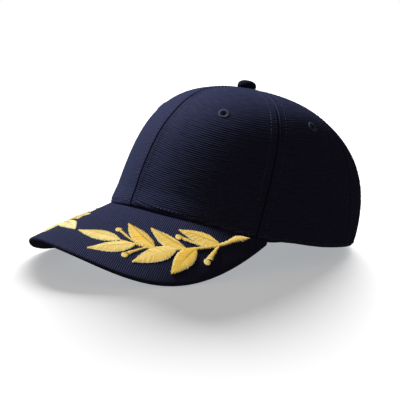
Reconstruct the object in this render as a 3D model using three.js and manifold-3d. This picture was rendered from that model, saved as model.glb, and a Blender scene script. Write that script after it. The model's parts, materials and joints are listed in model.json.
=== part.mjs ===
// Captain's cap: six sewn panels, a curved cloth peak and a gold laurel branch on each side of it
import * as THREE from 'three';
import { mergeVertices } from 'three/addons/utils/BufferGeometryUtils.js';
import Module from 'manifold-3d';

const wasm = await Module();
wasm.setup();

// Crown sizes in millimetres and degrees, on the outer cloth, with the rim lying in the plane z = 0
const RIM_HALF_WIDTH = 85.6;
const RIM_HALF_LENGTH = 99.6;
const CROWN_HEIGHT = 107.5;
const BUTTON_FORWARD = 7;
const CROWN_LEAN = 13.1;
const TOP_SLOPE = 2.1;
const PANEL_WALL = 2;
const SIDE_SEAM_ANGLE = 62.6;
const REAR_SEAM_ANGLE = 116;
const FLAT_RIM_ANGLE = 100;

// Peak sizes: its top is part of an oval cylinder that points forward and down from the rim
const PEAK_LENGTH = 70.4;
const PEAK_PITCH = 26.2;
const PEAK_DROP = 12.9;
const PEAK_CORNER_ANGLE = 69.4;
const PEAK_ARCH_SPREAD = 4;
const PEAK_ARCH_HEIGHT = 68.6;
const PEAK_THICKNESS = 3.7;
const PEAK_CORNER_THICKNESS = 1.6;
const PEAK_COVER = 1.9;
const PEAK_HEM = 7;
const PEAK_EDGE_ROUND = 1.2;
const PEAK_CORNER_FLARE = 11.8;
const PEAK_CORNER_REACH = 69.9;
const PEAK_FRONT_REACH = 90.6;

// Small parts
const SEAM_GAP = 0.3;
const HEM_GAP = 0.6;
const BUTTON_RADIUS = 7.2;
const BUTTON_HEIGHT = 6.4;
const BUTTON_SHANK_RADIUS = 2.2;
const BUTTON_SHANK_LENGTH = 4;
const BUTTON_FOOT_RADIUS = 6.48;
const BUTTON_SHOULDER = 2.88;
const EYELET_RADIUS = 4.1;
const EYELET_HOLE_RADIUS = 1.7;
const EYELET_PROUD = 0.5;
const EYELET_FROM_APEX = 68.5;
const BAND_WIDTH = 31;
const BAND_THICKNESS = 1.2;
const BAND_LIFT = 1.5;
const BAND_CLEARANCE = 0.9;
const EMBROIDERY_EDGE = 0.5;
const EMBROIDERY_RIDGE = 1.3;
const STEM_WIDTH = 5;
const BERRY_RADIUS = 2.4;

// Facets
const PANEL_COLUMNS = 9;
const PANEL_ROWS = 12;
const PEAK_SECTIONS = 30;
const PEAK_ROWS = 5;
const BAND_SECTIONS = 44;
const BAND_ROWS = 2;
const ROUND_SIDES = 12;
const LEAF_SECTIONS = 7;
const CUTS_PER_STRETCH = 2;
const DOME_STEPS = 4;
const BERRY_SIDES = 8;
const BERRY_RINGS = 6;
const WELD = 1e-4;

// How a line up the crown bends, as shares of the crown's height and of the distance to its axis
const CROWN_BENDS = {
  rise: { front: 0.604, side: 0.626, back: 0.538 },
  lean: { front: 0.064, side: -0.116, back: 0.103 },
  shoulder: { front: 0.971, side: 0.79, back: 0.601 },
};

// Laurel leaves: places are shares round the rim and out to the edge, bulges are shares of the length
const LEAVES = [
  { base: [0.2, 0.601], tip: [0.007, 0.688], left: 0.14, right: 0.171 },
  { base: [0.276, 0.59], tip: [0.12, 0.873], left: 0.139, right: 0.193 },
  { base: [0.368, 0.553], tip: [0.158, 0.33], left: 0.091, right: 0.252 },
  { base: [0.472, 0.499], tip: [0.307, 0.825], left: 0.189, right: 0.173 },
  { base: [0.52, 0.473], tip: [0.287, 0.293], left: 0.047, right: 0.286 },
  { base: [0.57, 0.439], tip: [0.492, 0.861], left: 0.225, right: 0.193 },
  { base: [0.694, 0.34], tip: [0.437, 0.209], left: 0.134, right: 0.216 },
];

// Stem and berry stalks: each place has its width there as a share of the stem's cut end
const STEM = [
  { place: [0.17, 0.617], width: 0.24 },
  { place: [0.25, 0.593], width: 0.28 },
  { place: [0.344, 0.576], width: 0.32 },
  { place: [0.444, 0.521], width: 0.36 },
  { place: [0.539, 0.47], width: 0.4 },
  { place: [0.616, 0.416], width: 0.44 },
  { place: [0.69, 0.36], width: 0.6 },
  { place: [0.744, 0.27], width: 0.76 },
  { place: [0.796, 0.145], width: 1 },
  { place: [0.84, 0.1], width: 0.72 },
];
const STALKS = [
  [
    { place: [0.299, 0.589], width: 0.24 },
    { place: [0.226, 0.532], width: 0.28 },
    { place: [0.16, 0.473], width: 0.44 },
  ],
  [
    { place: [0.33, 0.58], width: 0.28 },
    { place: [0.288, 0.68], width: 0.4 },
    { place: [0.268, 0.741], width: 0.68 },
  ],
  [
    { place: [0.608, 0.401], width: 0.28 },
    { place: [0.54, 0.355], width: 0.36 },
    { place: [0.475, 0.322], width: 0.6 },
  ],
  [
    { place: [0.69, 0.38], width: 0.32 },
    { place: [0.67, 0.52], width: 0.6 },
    { place: [0.657, 0.64], width: 0.92 },
  ],
];
const BERRIES = [[0.15, 0.466], [0.264, 0.765], [0.458, 0.317], [0.65, 0.667]];

// Colours and finishes
const NAVY_CLOTH = { color: 0x24264a, roughness: 0.9, metalness: 0 };
const NAVY_TWILL = { color: 0x1a1c38, roughness: 0.92, metalness: 0 };
const NAVY_THREAD = { color: 0x20223f, roughness: 0.75, metalness: 0 };
const GOLD_THREAD = { color: 0xe3b54a, roughness: 0.5, metalness: 0 };

const { degToRad, lerp, smoothstep } = THREE.MathUtils;
const UP = new THREE.Vector3(0, 0, 1);

// A bend at an angle round the crown, passing smoothly through its front, side and back values
function bendAt(name, angle) {
  const { front, side, back } = CROWN_BENDS[name];
  const turn = degToRad(angle);
  const mean = (front + back) / 4 + side / 2;
  const tilt = (front - back) / 2;
  const oval = (front + back) / 4 - side / 2;
  return mean + tilt * Math.cos(turn) + oval * Math.cos(2 * turn);
}

// The peak's cross arch is a quarter oval each side, a little wider than the rim that it springs
// from, and it is measured along the cloth from the middle line
const ARCH_HALF_WIDTH = RIM_HALF_WIDTH + PEAK_ARCH_SPREAD;
const ARCH_STEPS = 400;
const archQuarter = new THREE.EllipseCurve(
  0, -PEAK_ARCH_HEIGHT, ARCH_HALF_WIDTH, PEAK_ARCH_HEIGHT, Math.PI / 2, 0, true,
);
archQuarter.arcLengthDivisions = ARCH_STEPS;
const ARCH_LENGTHS = archQuarter.getLengths();
const ARCH_LENGTH = archQuarter.getLength();
const PITCH = degToRad(PEAK_PITCH);

function archDrop(x) {
  return PEAK_ARCH_HEIGHT * (1 - Math.sqrt(1 - (x / ARCH_HALF_WIDTH) ** 2));
}

function clothFromMiddle(x) {
  const turn = Math.asin(Math.abs(x) / ARCH_HALF_WIDTH) / (Math.PI / 2);
  const step = turn * (ARCH_LENGTHS.length - 1);
  const low = Math.floor(step);
  return Math.sign(x) * lerp(ARCH_LENGTHS[low], ARCH_LENGTHS[low + 1], step - low);
}

// Outer rim of the crown: an oval in plan, lifted over the peak and level round the sides and back
function rimPlan(angle, outward = 0) {
  const turn = degToRad(angle);
  const point = new THREE.Vector2(RIM_HALF_WIDTH * Math.sin(turn), -RIM_HALF_LENGTH * Math.cos(turn));
  const normal = new THREE.Vector2(Math.sin(turn) / RIM_HALF_WIDTH, -Math.cos(turn) / RIM_HALF_LENGTH);
  return point.addScaledVector(normal.normalize(), outward);
}

function peakHeight(plan) {
  const ahead = -RIM_HALF_LENGTH - plan.y;
  return PEAK_DROP - Math.tan(PITCH) * ahead - archDrop(plan.x) / Math.cos(PITCH);
}

function rimPoint(angle) {
  const plan = rimPlan(angle);
  const turn = Math.abs(angle);
  if (turn <= PEAK_CORNER_ANGLE) return new THREE.Vector3(plan.x, plan.y, peakHeight(plan));
  const cornerHeight = peakHeight(rimPlan(PEAK_CORNER_ANGLE));
  const settled = smoothstep(turn, PEAK_CORNER_ANGLE, FLAT_RIM_ANGLE);
  return new THREE.Vector3(plan.x, plan.y, cornerHeight * (1 - settled));
}

// Peak thickness by its share of the way round from the front, thin at the corners
const TAPER_START = 0.8;
function peakThickness(round) {
  return lerp(PEAK_THICKNESS, PEAK_CORNER_THICKNESS, smoothstep(Math.abs(round), TAPER_START, 1));
}

// How far the crown's cloth reaches below the peak's top, to cover its inner edge
const HEM_FADE_ANGLE = 8;
function rimHem(angle) {
  const turn = Math.abs(angle);
  const kept = 1 - smoothstep(turn, PEAK_CORNER_ANGLE, PEAK_CORNER_ANGLE + HEM_FADE_ANGLE);
  return peakThickness(Math.min(turn / PEAK_CORNER_ANGLE, 1)) * kept;
}

// One line up the crown, from the rim to the apex under the button
const APEX = new THREE.Vector3(0, -BUTTON_FORWARD, CROWN_HEIGHT);
const LEAN = Math.tan(degToRad(CROWN_LEAN));
function crownLine(angle) {
  const foot = rimPoint(angle);
  const height = CROWN_HEIGHT - foot.z;
  const outward = new THREE.Vector3(foot.x, foot.y - (APEX.y - CROWN_HEIGHT * LEAN), 0);
  const radius = outward.length();
  outward.normalize();
  const rise = bendAt('rise', angle) * height;
  const low = foot.clone().addScaledVector(outward, bendAt('lean', angle) * radius);
  low.add(new THREE.Vector3(0, rise * LEAN, rise));
  const reach = bendAt('shoulder', angle) * radius;
  const high = APEX.clone().addScaledVector(outward, reach);
  high.z -= Math.tan(degToRad(TOP_SLOPE)) * outward.y * reach;
  return new THREE.CubicBezierCurve3(foot, low, high, APEX);
}

// A place on the crown's outer cloth with the direction out of it and the run of one degree round it
const ANGLE_STEP = 0.5;
const SHARE_STEP = 0.01;
function crownPlace(angle, share) {
  const line = crownLine(angle);
  const point = line.getPoint(share);
  const around = crownLine(angle + ANGLE_STEP).getPoint(share);
  around.sub(crownLine(angle - ANGLE_STEP).getPoint(share));
  const upward = line.getPoint(Math.min(share + SHARE_STEP, 1));
  upward.sub(line.getPoint(Math.max(share - SHARE_STEP, 0)));
  const normal = new THREE.Vector3().crossVectors(around, upward).normalize();
  return { point, normal, degreeRun: around.length() / (2 * ANGLE_STEP) };
}

// The share of a crown line that ends a distance along the cloth from its foot or from the apex
function shareFromFoot(angle, distance) {
  const line = crownLine(angle);
  return line.getUtoTmapping(distance / line.getLength());
}

function shareFromApex(angle, distance) {
  const line = crownLine(angle);
  return line.getUtoTmapping(1 - distance / line.getLength());
}

// A closed body through matching closed sections, each a loop of points, with flat or ringed ends
function bodyThrough(sections, isRing = false) {
  const count = sections[0].length;
  const positions = sections.flat().flatMap((point) => point.toArray());
  const faces = [];
  const spans = isRing ? sections.length : sections.length - 1;
  for (let i = 0; i < spans; i += 1) {
    const here = i * count;
    const next = ((i + 1) % sections.length) * count;
    for (let j = 0; j < count; j += 1) {
      const k = (j + 1) % count;
      faces.push(here + j, next + j, next + k, here + j, next + k, here + k);
    }
  }
  if (!isRing) {
    const last = (sections.length - 1) * count;
    faces.push(...capFaces(sections[0]));
    faces.push(...capFaces(sections[sections.length - 1]).reverse().map((corner) => corner + last));
  }
  const geometry = new THREE.BufferGeometry();
  geometry.setAttribute('position', new THREE.Float32BufferAttribute(positions, 3));
  geometry.setIndex(faces);
  return facingOut(geometry);
}

// Triangles of a flat end, cut in the plane that fits the loop best
function capFaces(loop) {
  const normal = new THREE.Vector3();
  loop.forEach((point, j) => normal.add(point.clone().cross(loop[(j + 1) % loop.length])));
  const turn = new THREE.Quaternion().setFromUnitVectors(normal.normalize(), UP);
  const flat = loop.map((point) => {
    const turned = point.clone().applyQuaternion(turn);
    return new THREE.Vector2(turned.x, turned.y);
  });
  return THREE.ShapeUtils.triangulateShape(flat, []).flat();
}

// Turns every face round where the body came out inside out
function facingOut(geometry) {
  const position = geometry.getAttribute('position');
  const index = geometry.getIndex();
  const corner = [0, 1, 2].map(() => new THREE.Vector3());
  let volume = 0;
  for (let i = 0; i < index.count; i += 3) {
    corner.forEach((point, j) => point.fromBufferAttribute(position, index.getX(i + j)));
    volume += corner[0].dot(corner[1].clone().cross(corner[2]));
  }
  if (volume < 0) index.array.reverse();
  return geometry;
}

// The same faces with only their places, and with the points that coincide made one
function welded(geometry) {
  const bare = geometry.clone();
  bare.deleteAttribute('normal');
  bare.deleteAttribute('uv');
  return mergeVertices(bare, WELD);
}

function solidFrom(geometry) {
  const merged = welded(geometry);
  return new wasm.Manifold(new wasm.Mesh({
    numProp: 3,
    vertProperties: new Float32Array(merged.getAttribute('position').array),
    triVerts: new Uint32Array(merged.getIndex().array),
  }));
}

function geometryFrom(solid) {
  const mesh = solid.getMesh();
  const geometry = new THREE.BufferGeometry();
  geometry.setAttribute('position', new THREE.Float32BufferAttribute(mesh.vertProperties, 3));
  geometry.setIndex([...mesh.triVerts]);
  return geometry;
}

function named(name, geometry, finish) {
  geometry.computeVertexNormals();
  const mesh = new THREE.Mesh(geometry, new THREE.MeshStandardMaterial(finish));
  mesh.name = name;
  return mesh;
}

// Where an eyelet sits in the middle of a panel
function eyeletPlace(startAngle, endAngle) {
  const angle = (startAngle + endAngle) / 2;
  const { point, normal } = crownPlace(angle, shareFromApex(angle, EYELET_FROM_APEX));
  return { point, turn: new THREE.Quaternion().setFromUnitVectors(new THREE.Vector3(0, 1, 0), normal) };
}

// One panel between two seams, cut back by half the seam gap on each side
function panelSection(startAngle, endAngle, column) {
  const outer = [];
  const inner = [];
  for (let row = 0; row <= PANEL_ROWS; row += 1) {
    const middle = (startAngle + endAngle) / 2;
    const rowShare = row / PANEL_ROWS;
    const tipShare = (angle) => shareFromApex(angle, BUTTON_SHANK_RADIUS + SEAM_GAP);
    const trim = SEAM_GAP / 2 / crownPlace(middle, rowShare * tipShare(middle)).degreeRun;
    const angle = lerp(startAngle + trim, endAngle - trim, column / PANEL_COLUMNS);
    const { point, normal } = crownPlace(angle, rowShare * tipShare(angle));
    if (row === 0) {
      point.z -= rimHem(angle);
      normal.setZ(0).normalize();
    }
    outer.push(point);
    inner.push(point.clone().addScaledVector(normal, -PANEL_WALL));
  }
  return [...outer, ...inner.reverse()];
}

function panelGeometry(startAngle, endAngle) {
  const sections = [];
  for (let column = 0; column <= PANEL_COLUMNS; column += 1) {
    sections.push(panelSection(startAngle, endAngle, column));
  }
  const holeRadius = EYELET_RADIUS + SEAM_GAP;
  const holeLength = 4 * PANEL_WALL;
  const hole = new THREE.CylinderGeometry(holeRadius, holeRadius, holeLength, ROUND_SIDES);
  const { point, turn } = eyeletPlace(startAngle, endAngle);
  hole.applyQuaternion(turn);
  hole.translate(point.x, point.y, point.z);
  return geometryFrom(solidFrom(bodyThrough(sections)).subtract(solidFrom(hole)));
}

// A worked eyelet: a ring that fills the hole in the panel and stands a little proud of both faces
function eyeletGeometry() {
  const inside = -PANEL_WALL - EYELET_PROUD;
  const chamfer = EYELET_PROUD;
  const profile = [
    [EYELET_HOLE_RADIUS, inside + chamfer],
    [EYELET_HOLE_RADIUS + chamfer, inside],
    [EYELET_RADIUS, inside],
    [EYELET_RADIUS, EYELET_PROUD - chamfer],
    [EYELET_RADIUS - chamfer, EYELET_PROUD],
    [EYELET_HOLE_RADIUS, EYELET_PROUD - chamfer],
  ];
  const loop = [...profile, profile[0]].map(([radius, height]) => new THREE.Vector2(radius, height));
  return new THREE.LatheGeometry(loop, ROUND_SIDES);
}

// The covered button: a low dome over the panels' tips, with its shank down through them
function buttonGeometry() {
  const profile = [
    [0, -BUTTON_SHANK_LENGTH],
    [BUTTON_SHANK_RADIUS, -BUTTON_SHANK_LENGTH],
    [BUTTON_SHANK_RADIUS, 0],
    [BUTTON_FOOT_RADIUS, 0],
    [BUTTON_RADIUS, BUTTON_SHOULDER / 2],
    [BUTTON_RADIUS, BUTTON_SHOULDER],
  ];
  for (let step = 1; step <= DOME_STEPS; step += 1) {
    const turn = (step / DOME_STEPS) * (Math.PI / 2);
    const radius = step === DOME_STEPS ? 0 : BUTTON_RADIUS * Math.cos(turn);
    profile.push([radius, lerp(BUTTON_SHOULDER, BUTTON_HEIGHT, Math.sin(turn))]);
  }
  const loop = profile.map(([radius, height]) => new THREE.Vector2(radius, height));
  return new THREE.LatheGeometry(loop, 2 * ROUND_SIDES);
}

// The sweatband: a plain strip round the inside of the crown, just above the rim
function bandGeometry() {
  const sections = [];
  for (let i = 0; i < BAND_SECTIONS; i += 1) {
    const angle = -180 + (360 * i) / BAND_SECTIONS;
    const outer = [];
    const inner = [];
    for (let row = 0; row <= BAND_ROWS; row += 1) {
      const distance = lerp(BAND_LIFT, BAND_LIFT + BAND_WIDTH, row / BAND_ROWS);
      const { point, normal } = crownPlace(angle, shareFromFoot(angle, distance));
      outer.push(point.clone().addScaledVector(normal, -PANEL_WALL - BAND_CLEARANCE));
      inner.push(point.clone().addScaledVector(normal, -PANEL_WALL - BAND_CLEARANCE - BAND_THICKNESS));
    }
    sections.push([...outer, ...inner.reverse()]);
  }
  return bodyThrough(sections, true);
}

// Flat pattern of the peak: x along the cloth from the middle line, y forward from the rim's front
const patternCorner = patternOf(rimPlan(PEAK_CORNER_ANGLE, SEAM_GAP));
const outlineHalf = new THREE.CubicBezierCurve(
  new THREE.Vector2(0, PEAK_LENGTH),
  new THREE.Vector2(PEAK_FRONT_REACH, PEAK_LENGTH),
  patternCorner.clone().add(new THREE.Vector2(PEAK_CORNER_FLARE, PEAK_CORNER_REACH)),
  patternCorner,
);

function patternOf(plan) {
  const forward = -RIM_HALF_LENGTH - plan.y + archDrop(plan.x) * Math.sin(PITCH);
  return new THREE.Vector2(clothFromMiddle(plan.x), forward / Math.cos(PITCH));
}

// A place in the pattern by its share round the rim, from -1 to 1, and its share out to the edge
function patternPlace(round, out) {
  const root = patternOf(rimPlan(round * PEAK_CORNER_ANGLE, SEAM_GAP));
  const edge = outlineHalf.getPoint(Math.abs(round));
  edge.x *= Math.sign(round);
  return root.lerp(edge, out);
}

// Bends a pattern place up onto the peak, a depth below its top: square to it, or plumb at the rim
function onPeak(place, depth = 0, plumb = 0) {
  const share = Math.min(Math.abs(place.x) / ARCH_LENGTH, 1);
  const side = Math.sign(place.x);
  const arch = archQuarter.getPointAt(share);
  const tangent = archQuarter.getTangentAt(share);
  const toFrame = (x, rise) => new THREE.Vector3(x, -rise * Math.sin(PITCH), rise * Math.cos(PITCH));
  const square = toFrame(side * tangent.y, -tangent.x);
  const down = square.lerp(UP.clone().negate(), plumb).normalize();
  const point = toFrame(side * arch.x, arch.y);
  point.y -= RIM_HALF_LENGTH + place.y * Math.cos(PITCH);
  point.z += PEAK_DROP - place.y * Math.sin(PITCH);
  return point.addScaledVector(down, depth);
}

// One cut through the peak from the rim out. A stop lies at a share of the way out to its inset from
// the edge, less its run, and at a depth that thins to the corners, plus its gap
const PLUMB_SHARE = 0.25;
const HEM_LIMIT = 0.45;
function peakCut(round, stops) {
  const length = patternPlace(round, 0).distanceTo(patternPlace(round, 1));
  const scale = peakThickness(round) / PEAK_THICKNESS;
  return stops.map(({ out, inset, depth, gap = 0, run = 0 }) => {
    const share = out * (1 - (Math.min(inset, HEM_LIMIT * length) + run) / length);
    const plumb = 1 - smoothstep(share, 0, PLUMB_SHARE);
    return onPeak(patternPlace(round, share), depth * scale + gap, plumb);
  });
}

function rowStops(stop, isOutward) {
  const stops = [];
  for (let row = 0; row <= PEAK_ROWS; row += 1) {
    stops.push({ ...stop, out: row / PEAK_ROWS });
  }
  return isOutward ? stops : stops.reverse();
}

// A layer of the peak through its cuts, which may leave out the first and last few at the corners
const PEAK_END_ROUND = 0.975;
const UNDER_SHORT_CUTS = 1;
function peakLayer(shortCuts, stops) {
  const sections = [];
  for (let i = shortCuts; i <= PEAK_SECTIONS - shortCuts; i += 1) {
    sections.push(peakCut(lerp(-PEAK_END_ROUND, PEAK_END_ROUND, i / PEAK_SECTIONS), stops));
  }
  return bodyThrough(sections);
}

// The top cover turns round the edge and ends in a hem below; the under cover lies inside that hem
function topCoverGeometry() {
  return peakLayer(0, [
    ...rowStops({ inset: PEAK_EDGE_ROUND, depth: 0 }, true),
    { out: 1, inset: 0, depth: PEAK_THICKNESS / 2 },
    { out: 1, inset: PEAK_EDGE_ROUND, depth: PEAK_THICKNESS },
    { out: 1, inset: PEAK_HEM, depth: PEAK_THICKNESS },
    ...rowStops({ inset: PEAK_HEM, depth: PEAK_COVER }, false),
  ]);
}

function underCoverGeometry() {
  return peakLayer(UNDER_SHORT_CUTS, [
    ...rowStops({ inset: PEAK_HEM, depth: PEAK_COVER, gap: SEAM_GAP, run: HEM_GAP }, true),
    ...rowStops({ inset: PEAK_HEM, depth: PEAK_THICKNESS, run: HEM_GAP }, false),
  ]);
}

// Raised satin stitch: sections across a strip, each with a thin edge and a ridge along the middle
function stitchedStrip(cuts) {
  return bodyThrough(cuts.map(({ left, right, ridge }) => [
    onPeak(right, -SEAM_GAP),
    onPeak(right, -SEAM_GAP - EMBROIDERY_EDGE),
    onPeak(ridge, -SEAM_GAP - EMBROIDERY_RIDGE),
    onPeak(left, -SEAM_GAP - EMBROIDERY_EDGE),
    onPeak(left, -SEAM_GAP),
  ]));
}

const LEAF_ROOT_SHARE = 0.04;
const LEAF_TIP_SHARE = 0.97;
const LEAF_FULLNESS = 0.8;
function leafGeometry({ base, tip, left, right }) {
  const root = patternPlace(...base);
  const spine = patternPlace(...tip).sub(root);
  const across = new THREE.Vector2(-spine.y, spine.x);
  const cuts = [];
  for (let i = 0; i <= LEAF_SECTIONS; i += 1) {
    const share = lerp(LEAF_ROOT_SHARE, LEAF_TIP_SHARE, i / LEAF_SECTIONS);
    const width = Math.sin(Math.PI * share ** LEAF_FULLNESS);
    const middle = root.clone().addScaledVector(spine, share);
    const edge = (bulge) => middle.clone().addScaledVector(across, bulge * width);
    cuts.push({ left: edge(left), right: edge(-right), ridge: edge((left - right) / 2) });
  }
  return stitchedStrip(cuts);
}

// A stem or stalk along its places, with a few cuts to each stretch
function stemGeometry(rows) {
  const line = new THREE.SplineCurve(rows.map(({ place }) => patternPlace(...place)));
  const steps = CUTS_PER_STRETCH * (rows.length - 1);
  const cuts = [];
  for (let i = 0; i <= steps; i += 1) {
    const stretch = Math.min(Math.floor(i / CUTS_PER_STRETCH), rows.length - 2);
    const share = i / CUTS_PER_STRETCH - stretch;
    const half = (STEM_WIDTH / 2) * lerp(rows[stretch].width, rows[stretch + 1].width, share);
    const ridge = line.getPoint(i / steps);
    const tangent = line.getTangent(i / steps);
    const across = new THREE.Vector2(-tangent.y, tangent.x);
    const edge = (reach) => ridge.clone().addScaledVector(across, reach);
    cuts.push({ left: edge(half), right: edge(-half), ridge });
  }
  return stitchedStrip(cuts);
}

function berryGeometry(place) {
  const centre = patternPlace(...place);
  const halfHeight = (EMBROIDERY_EDGE + EMBROIDERY_RIDGE) / 2;
  const ball = welded(new THREE.SphereGeometry(1, BERRY_SIDES, BERRY_RINGS));
  const position = ball.getAttribute('position');
  for (let i = 0; i < position.count; i += 1) {
    const reach = new THREE.Vector2(position.getX(i), position.getZ(i)).multiplyScalar(BERRY_RADIUS);
    const spot = centre.clone().add(reach);
    const lift = SEAM_GAP + halfHeight * (1 + position.getY(i));
    position.setXYZ(i, ...onPeak(spot, -lift).toArray());
  }
  return facingOut(ball);
}

// One branch as a single raised piece; the other side is its mirror image
function branchSolid() {
  const pieces = [
    stemGeometry(STEM),
    ...STALKS.map(stemGeometry),
    ...LEAVES.map(leafGeometry),
    ...BERRIES.map(berryGeometry),
  ];
  return pieces.map(solidFrom).reduce((whole, piece) => whole.add(piece));
}

function mirrored(geometry) {
  const copy = geometry.clone();
  copy.scale(-1, 1, 1);
  return facingOut(copy);
}

// Crown
const crown = new THREE.Group();
const PANELS = [
  { name: 'panel_front', start: 0, end: SIDE_SEAM_ANGLE },
  { name: 'panel_side', start: SIDE_SEAM_ANGLE, end: REAR_SEAM_ANGLE },
  { name: 'panel_back', start: REAR_SEAM_ANGLE, end: 180 },
];
for (const { name, start, end } of PANELS) {
  for (const [side, first, second] of [['left', start, end], ['right', -end, -start]]) {
    crown.add(named(`${name}_${side}`, panelGeometry(first, second), NAVY_CLOTH));
    const eyelet = named(name.replace('panel', 'eyelet') + `_${side}`, eyeletGeometry(), NAVY_THREAD);
    const { point, turn } = eyeletPlace(first, second);
    eyelet.position.copy(point);
    eyelet.quaternion.copy(turn);
    crown.add(eyelet);
  }
}
crown.add(named('sweatband', bandGeometry(), NAVY_TWILL));

const button = named('top_button', buttonGeometry(), NAVY_CLOTH);
const topNormal = new THREE.Vector3(0, Math.tan(degToRad(TOP_SLOPE)), 1).normalize();
button.quaternion.setFromUnitVectors(new THREE.Vector3(0, 1, 0), topNormal);
button.position.copy(APEX).addScaledVector(topNormal, SEAM_GAP);
crown.add(button);

// Peak and its laurel branches
const peak = new THREE.Group();
peak.add(named('peak_top_cover', topCoverGeometry(), NAVY_CLOTH));
peak.add(named('peak_under_cover', underCoverGeometry(), NAVY_TWILL));
const branch = geometryFrom(branchSolid());
peak.add(named('laurel_branch_left', branch, GOLD_THREAD));
peak.add(named('laurel_branch_right', mirrored(branch), GOLD_THREAD));

// The cap rests on the back of its rim and on the two lowest stretches of the peak's edge
const restPitch = (() => {
  const back = new THREE.Vector2(RIM_HALF_LENGTH, 0);
  const edge = peak.getObjectByName('peak_top_cover').geometry.getAttribute('position');
  let steepest = 0;
  for (let i = 0; i < edge.count; i += 1) {
    steepest = Math.max(steepest, Math.atan2(back.y - edge.getZ(i), back.x - edge.getY(i)));
  }
  return steepest;
})();
const pitched = new THREE.Group();
pitched.rotation.x = -restPitch;
pitched.add(crown, peak);

const cap = new THREE.Group();
cap.add(pitched);
cap.updateMatrixWorld(true);
const bounds = new THREE.Box3().setFromObject(cap, true);
pitched.position.set(0, -(bounds.min.y + bounds.max.y) / 2, -bounds.min.z);
cap.updateMatrixWorld(true);

export default cap;
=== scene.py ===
"""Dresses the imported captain's cap: six ribbed panels, a curved peak and its gold laurel embroidery."""

import json
import logging
import math
from dataclasses import dataclass, field
from enum import Enum
from typing import Any, Sequence

import bpy
import numpy as np
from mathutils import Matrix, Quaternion, Vector


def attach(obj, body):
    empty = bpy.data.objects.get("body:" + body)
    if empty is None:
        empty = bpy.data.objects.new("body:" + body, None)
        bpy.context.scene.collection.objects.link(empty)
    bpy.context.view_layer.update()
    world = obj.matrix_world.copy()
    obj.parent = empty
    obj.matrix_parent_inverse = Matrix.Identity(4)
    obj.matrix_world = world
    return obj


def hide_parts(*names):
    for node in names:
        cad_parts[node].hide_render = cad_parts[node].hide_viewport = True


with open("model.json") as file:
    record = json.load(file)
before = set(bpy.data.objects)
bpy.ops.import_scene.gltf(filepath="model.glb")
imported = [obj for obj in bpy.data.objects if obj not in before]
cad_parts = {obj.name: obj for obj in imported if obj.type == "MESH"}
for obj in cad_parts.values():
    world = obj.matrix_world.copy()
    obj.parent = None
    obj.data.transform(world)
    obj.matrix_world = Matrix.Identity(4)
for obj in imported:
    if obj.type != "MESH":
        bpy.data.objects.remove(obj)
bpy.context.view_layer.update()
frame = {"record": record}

log = logging.getLogger("captains_cap")
MM = 0.001
SEED = 11
UV_NAME = "Cloth"
# Points along a line up the crown, and along half of the peak's cross arch, where these are measured
LINE_POINTS = 241
ARCH_POINTS = 1201
# Steps from which the crown's slopes are taken: degrees round it, and a share of a line up it
ANGLE_STEP = 0.5
SHARE_STEP = 0.01
# Two numbers, such as where a change along the cloth starts and where it ends
Span = tuple[float, float]
# The points of a tube, and its faces as quads, with a triangle's last corner given twice
Tube = tuple[np.ndarray, np.ndarray]
# A stitch: the points along it, how much it thins at its ends, how flat it lies, the share of its radius
# that its ends sink into the cloth, and how far its length may fall short
STITCH_POINTS = 5
STITCH_TAPER = 0.45
STITCH_FLATNESS = 0.8
STITCH_SINK = 0.35
STITCH_LENGTHS: Span = (0.92, 1.0)


class Slot(Enum):
    """The record's material slots."""

    RIBBED = "navy_ribbed_cloth"
    TWILL = "navy_twill"
    NAVY_THREAD = "navy_thread"
    GOLD_THREAD = "gold_thread"


class Linking(Enum):
    """Which pieces a light reaches: only those it is linked to, or all but those."""

    ONLY = "INCLUDE"
    ALL_BUT = "EXCLUDE"


def smoothstep(value: np.ndarray, low: float, high: float) -> np.ndarray:
    """Eases from 0 at low to 1 at high.

    Args:
        value: Numbers to ease.
        low: Where the result leaves 0.
        high: Where the result reaches 1.
    Returns:
        The eased numbers.
    """
    share = np.clip((np.asarray(value, float) - low) / (high - low), 0.0, 1.0)
    return share * share * (3.0 - 2.0 * share)


def unit(vectors: np.ndarray) -> np.ndarray:
    """Vectors along the last axis, at length 1."""
    return vectors / np.maximum(np.linalg.norm(vectors, axis=-1, keepdims=True), 1e-9)


def dip(distance: np.ndarray, half_width: float) -> np.ndarray:
    """A smooth dip of depth 1 at distance 0, gone by about twice its half width."""
    return np.exp(-((distance / half_width) ** 2))


def distances_along(points: np.ndarray) -> np.ndarray:
    """Distances along a line of points, from 0 at the first."""
    return np.concatenate([[0], np.cumsum(np.linalg.norm(np.diff(points, axis=0), axis=1))])


@dataclass(frozen=True)
class RestPlace:
    """How the cap lies: pitched back off its rim plane, on the back of its rim and its peak's edge.

    Sizes are in millimetres. The rim plane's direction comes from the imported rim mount.
    """

    pitch: float
    rim_half_length: float = 99.6
    forward_shift: float = 26.3264

    @classmethod
    def from_frame(cls, record: dict[str, Any]) -> "RestPlace":
        """Reads the pitch off the rim mount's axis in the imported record."""
        axis = next(m for m in record["mounts"] if m["name"] == "rim_face")["axis"]
        return cls(pitch=math.atan2(-axis[1], -axis[2]))

    def world(self, points: np.ndarray) -> np.ndarray:
        """Turns rim-plane millimetres to the part's own metres.

        Args:
            points: Places with x, y and z along the last axis.
        Returns:
            The same places in the part's frame.
        """
        c, s = math.cos(self.pitch), math.sin(self.pitch)
        x, y, z = np.moveaxis(np.asarray(points, float), -1, 0)
        lift = self.rim_half_length * s
        return np.stack([x, y * c + z * s + self.forward_shift, z * c - y * s + lift], axis=-1) * MM


REST = RestPlace.from_frame(frame["record"])


@dataclass
class Surface:
    """Points, faces and per-point values of a mesh in the rim plane's millimetres.

    Where it is cloth, each point also has its place on the cloth, along the ribs and across them.
    """

    points: np.ndarray
    faces: np.ndarray | list[list[int]]
    cloth: np.ndarray | None = None
    values: dict[str, np.ndarray] = field(default_factory=dict)


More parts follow.
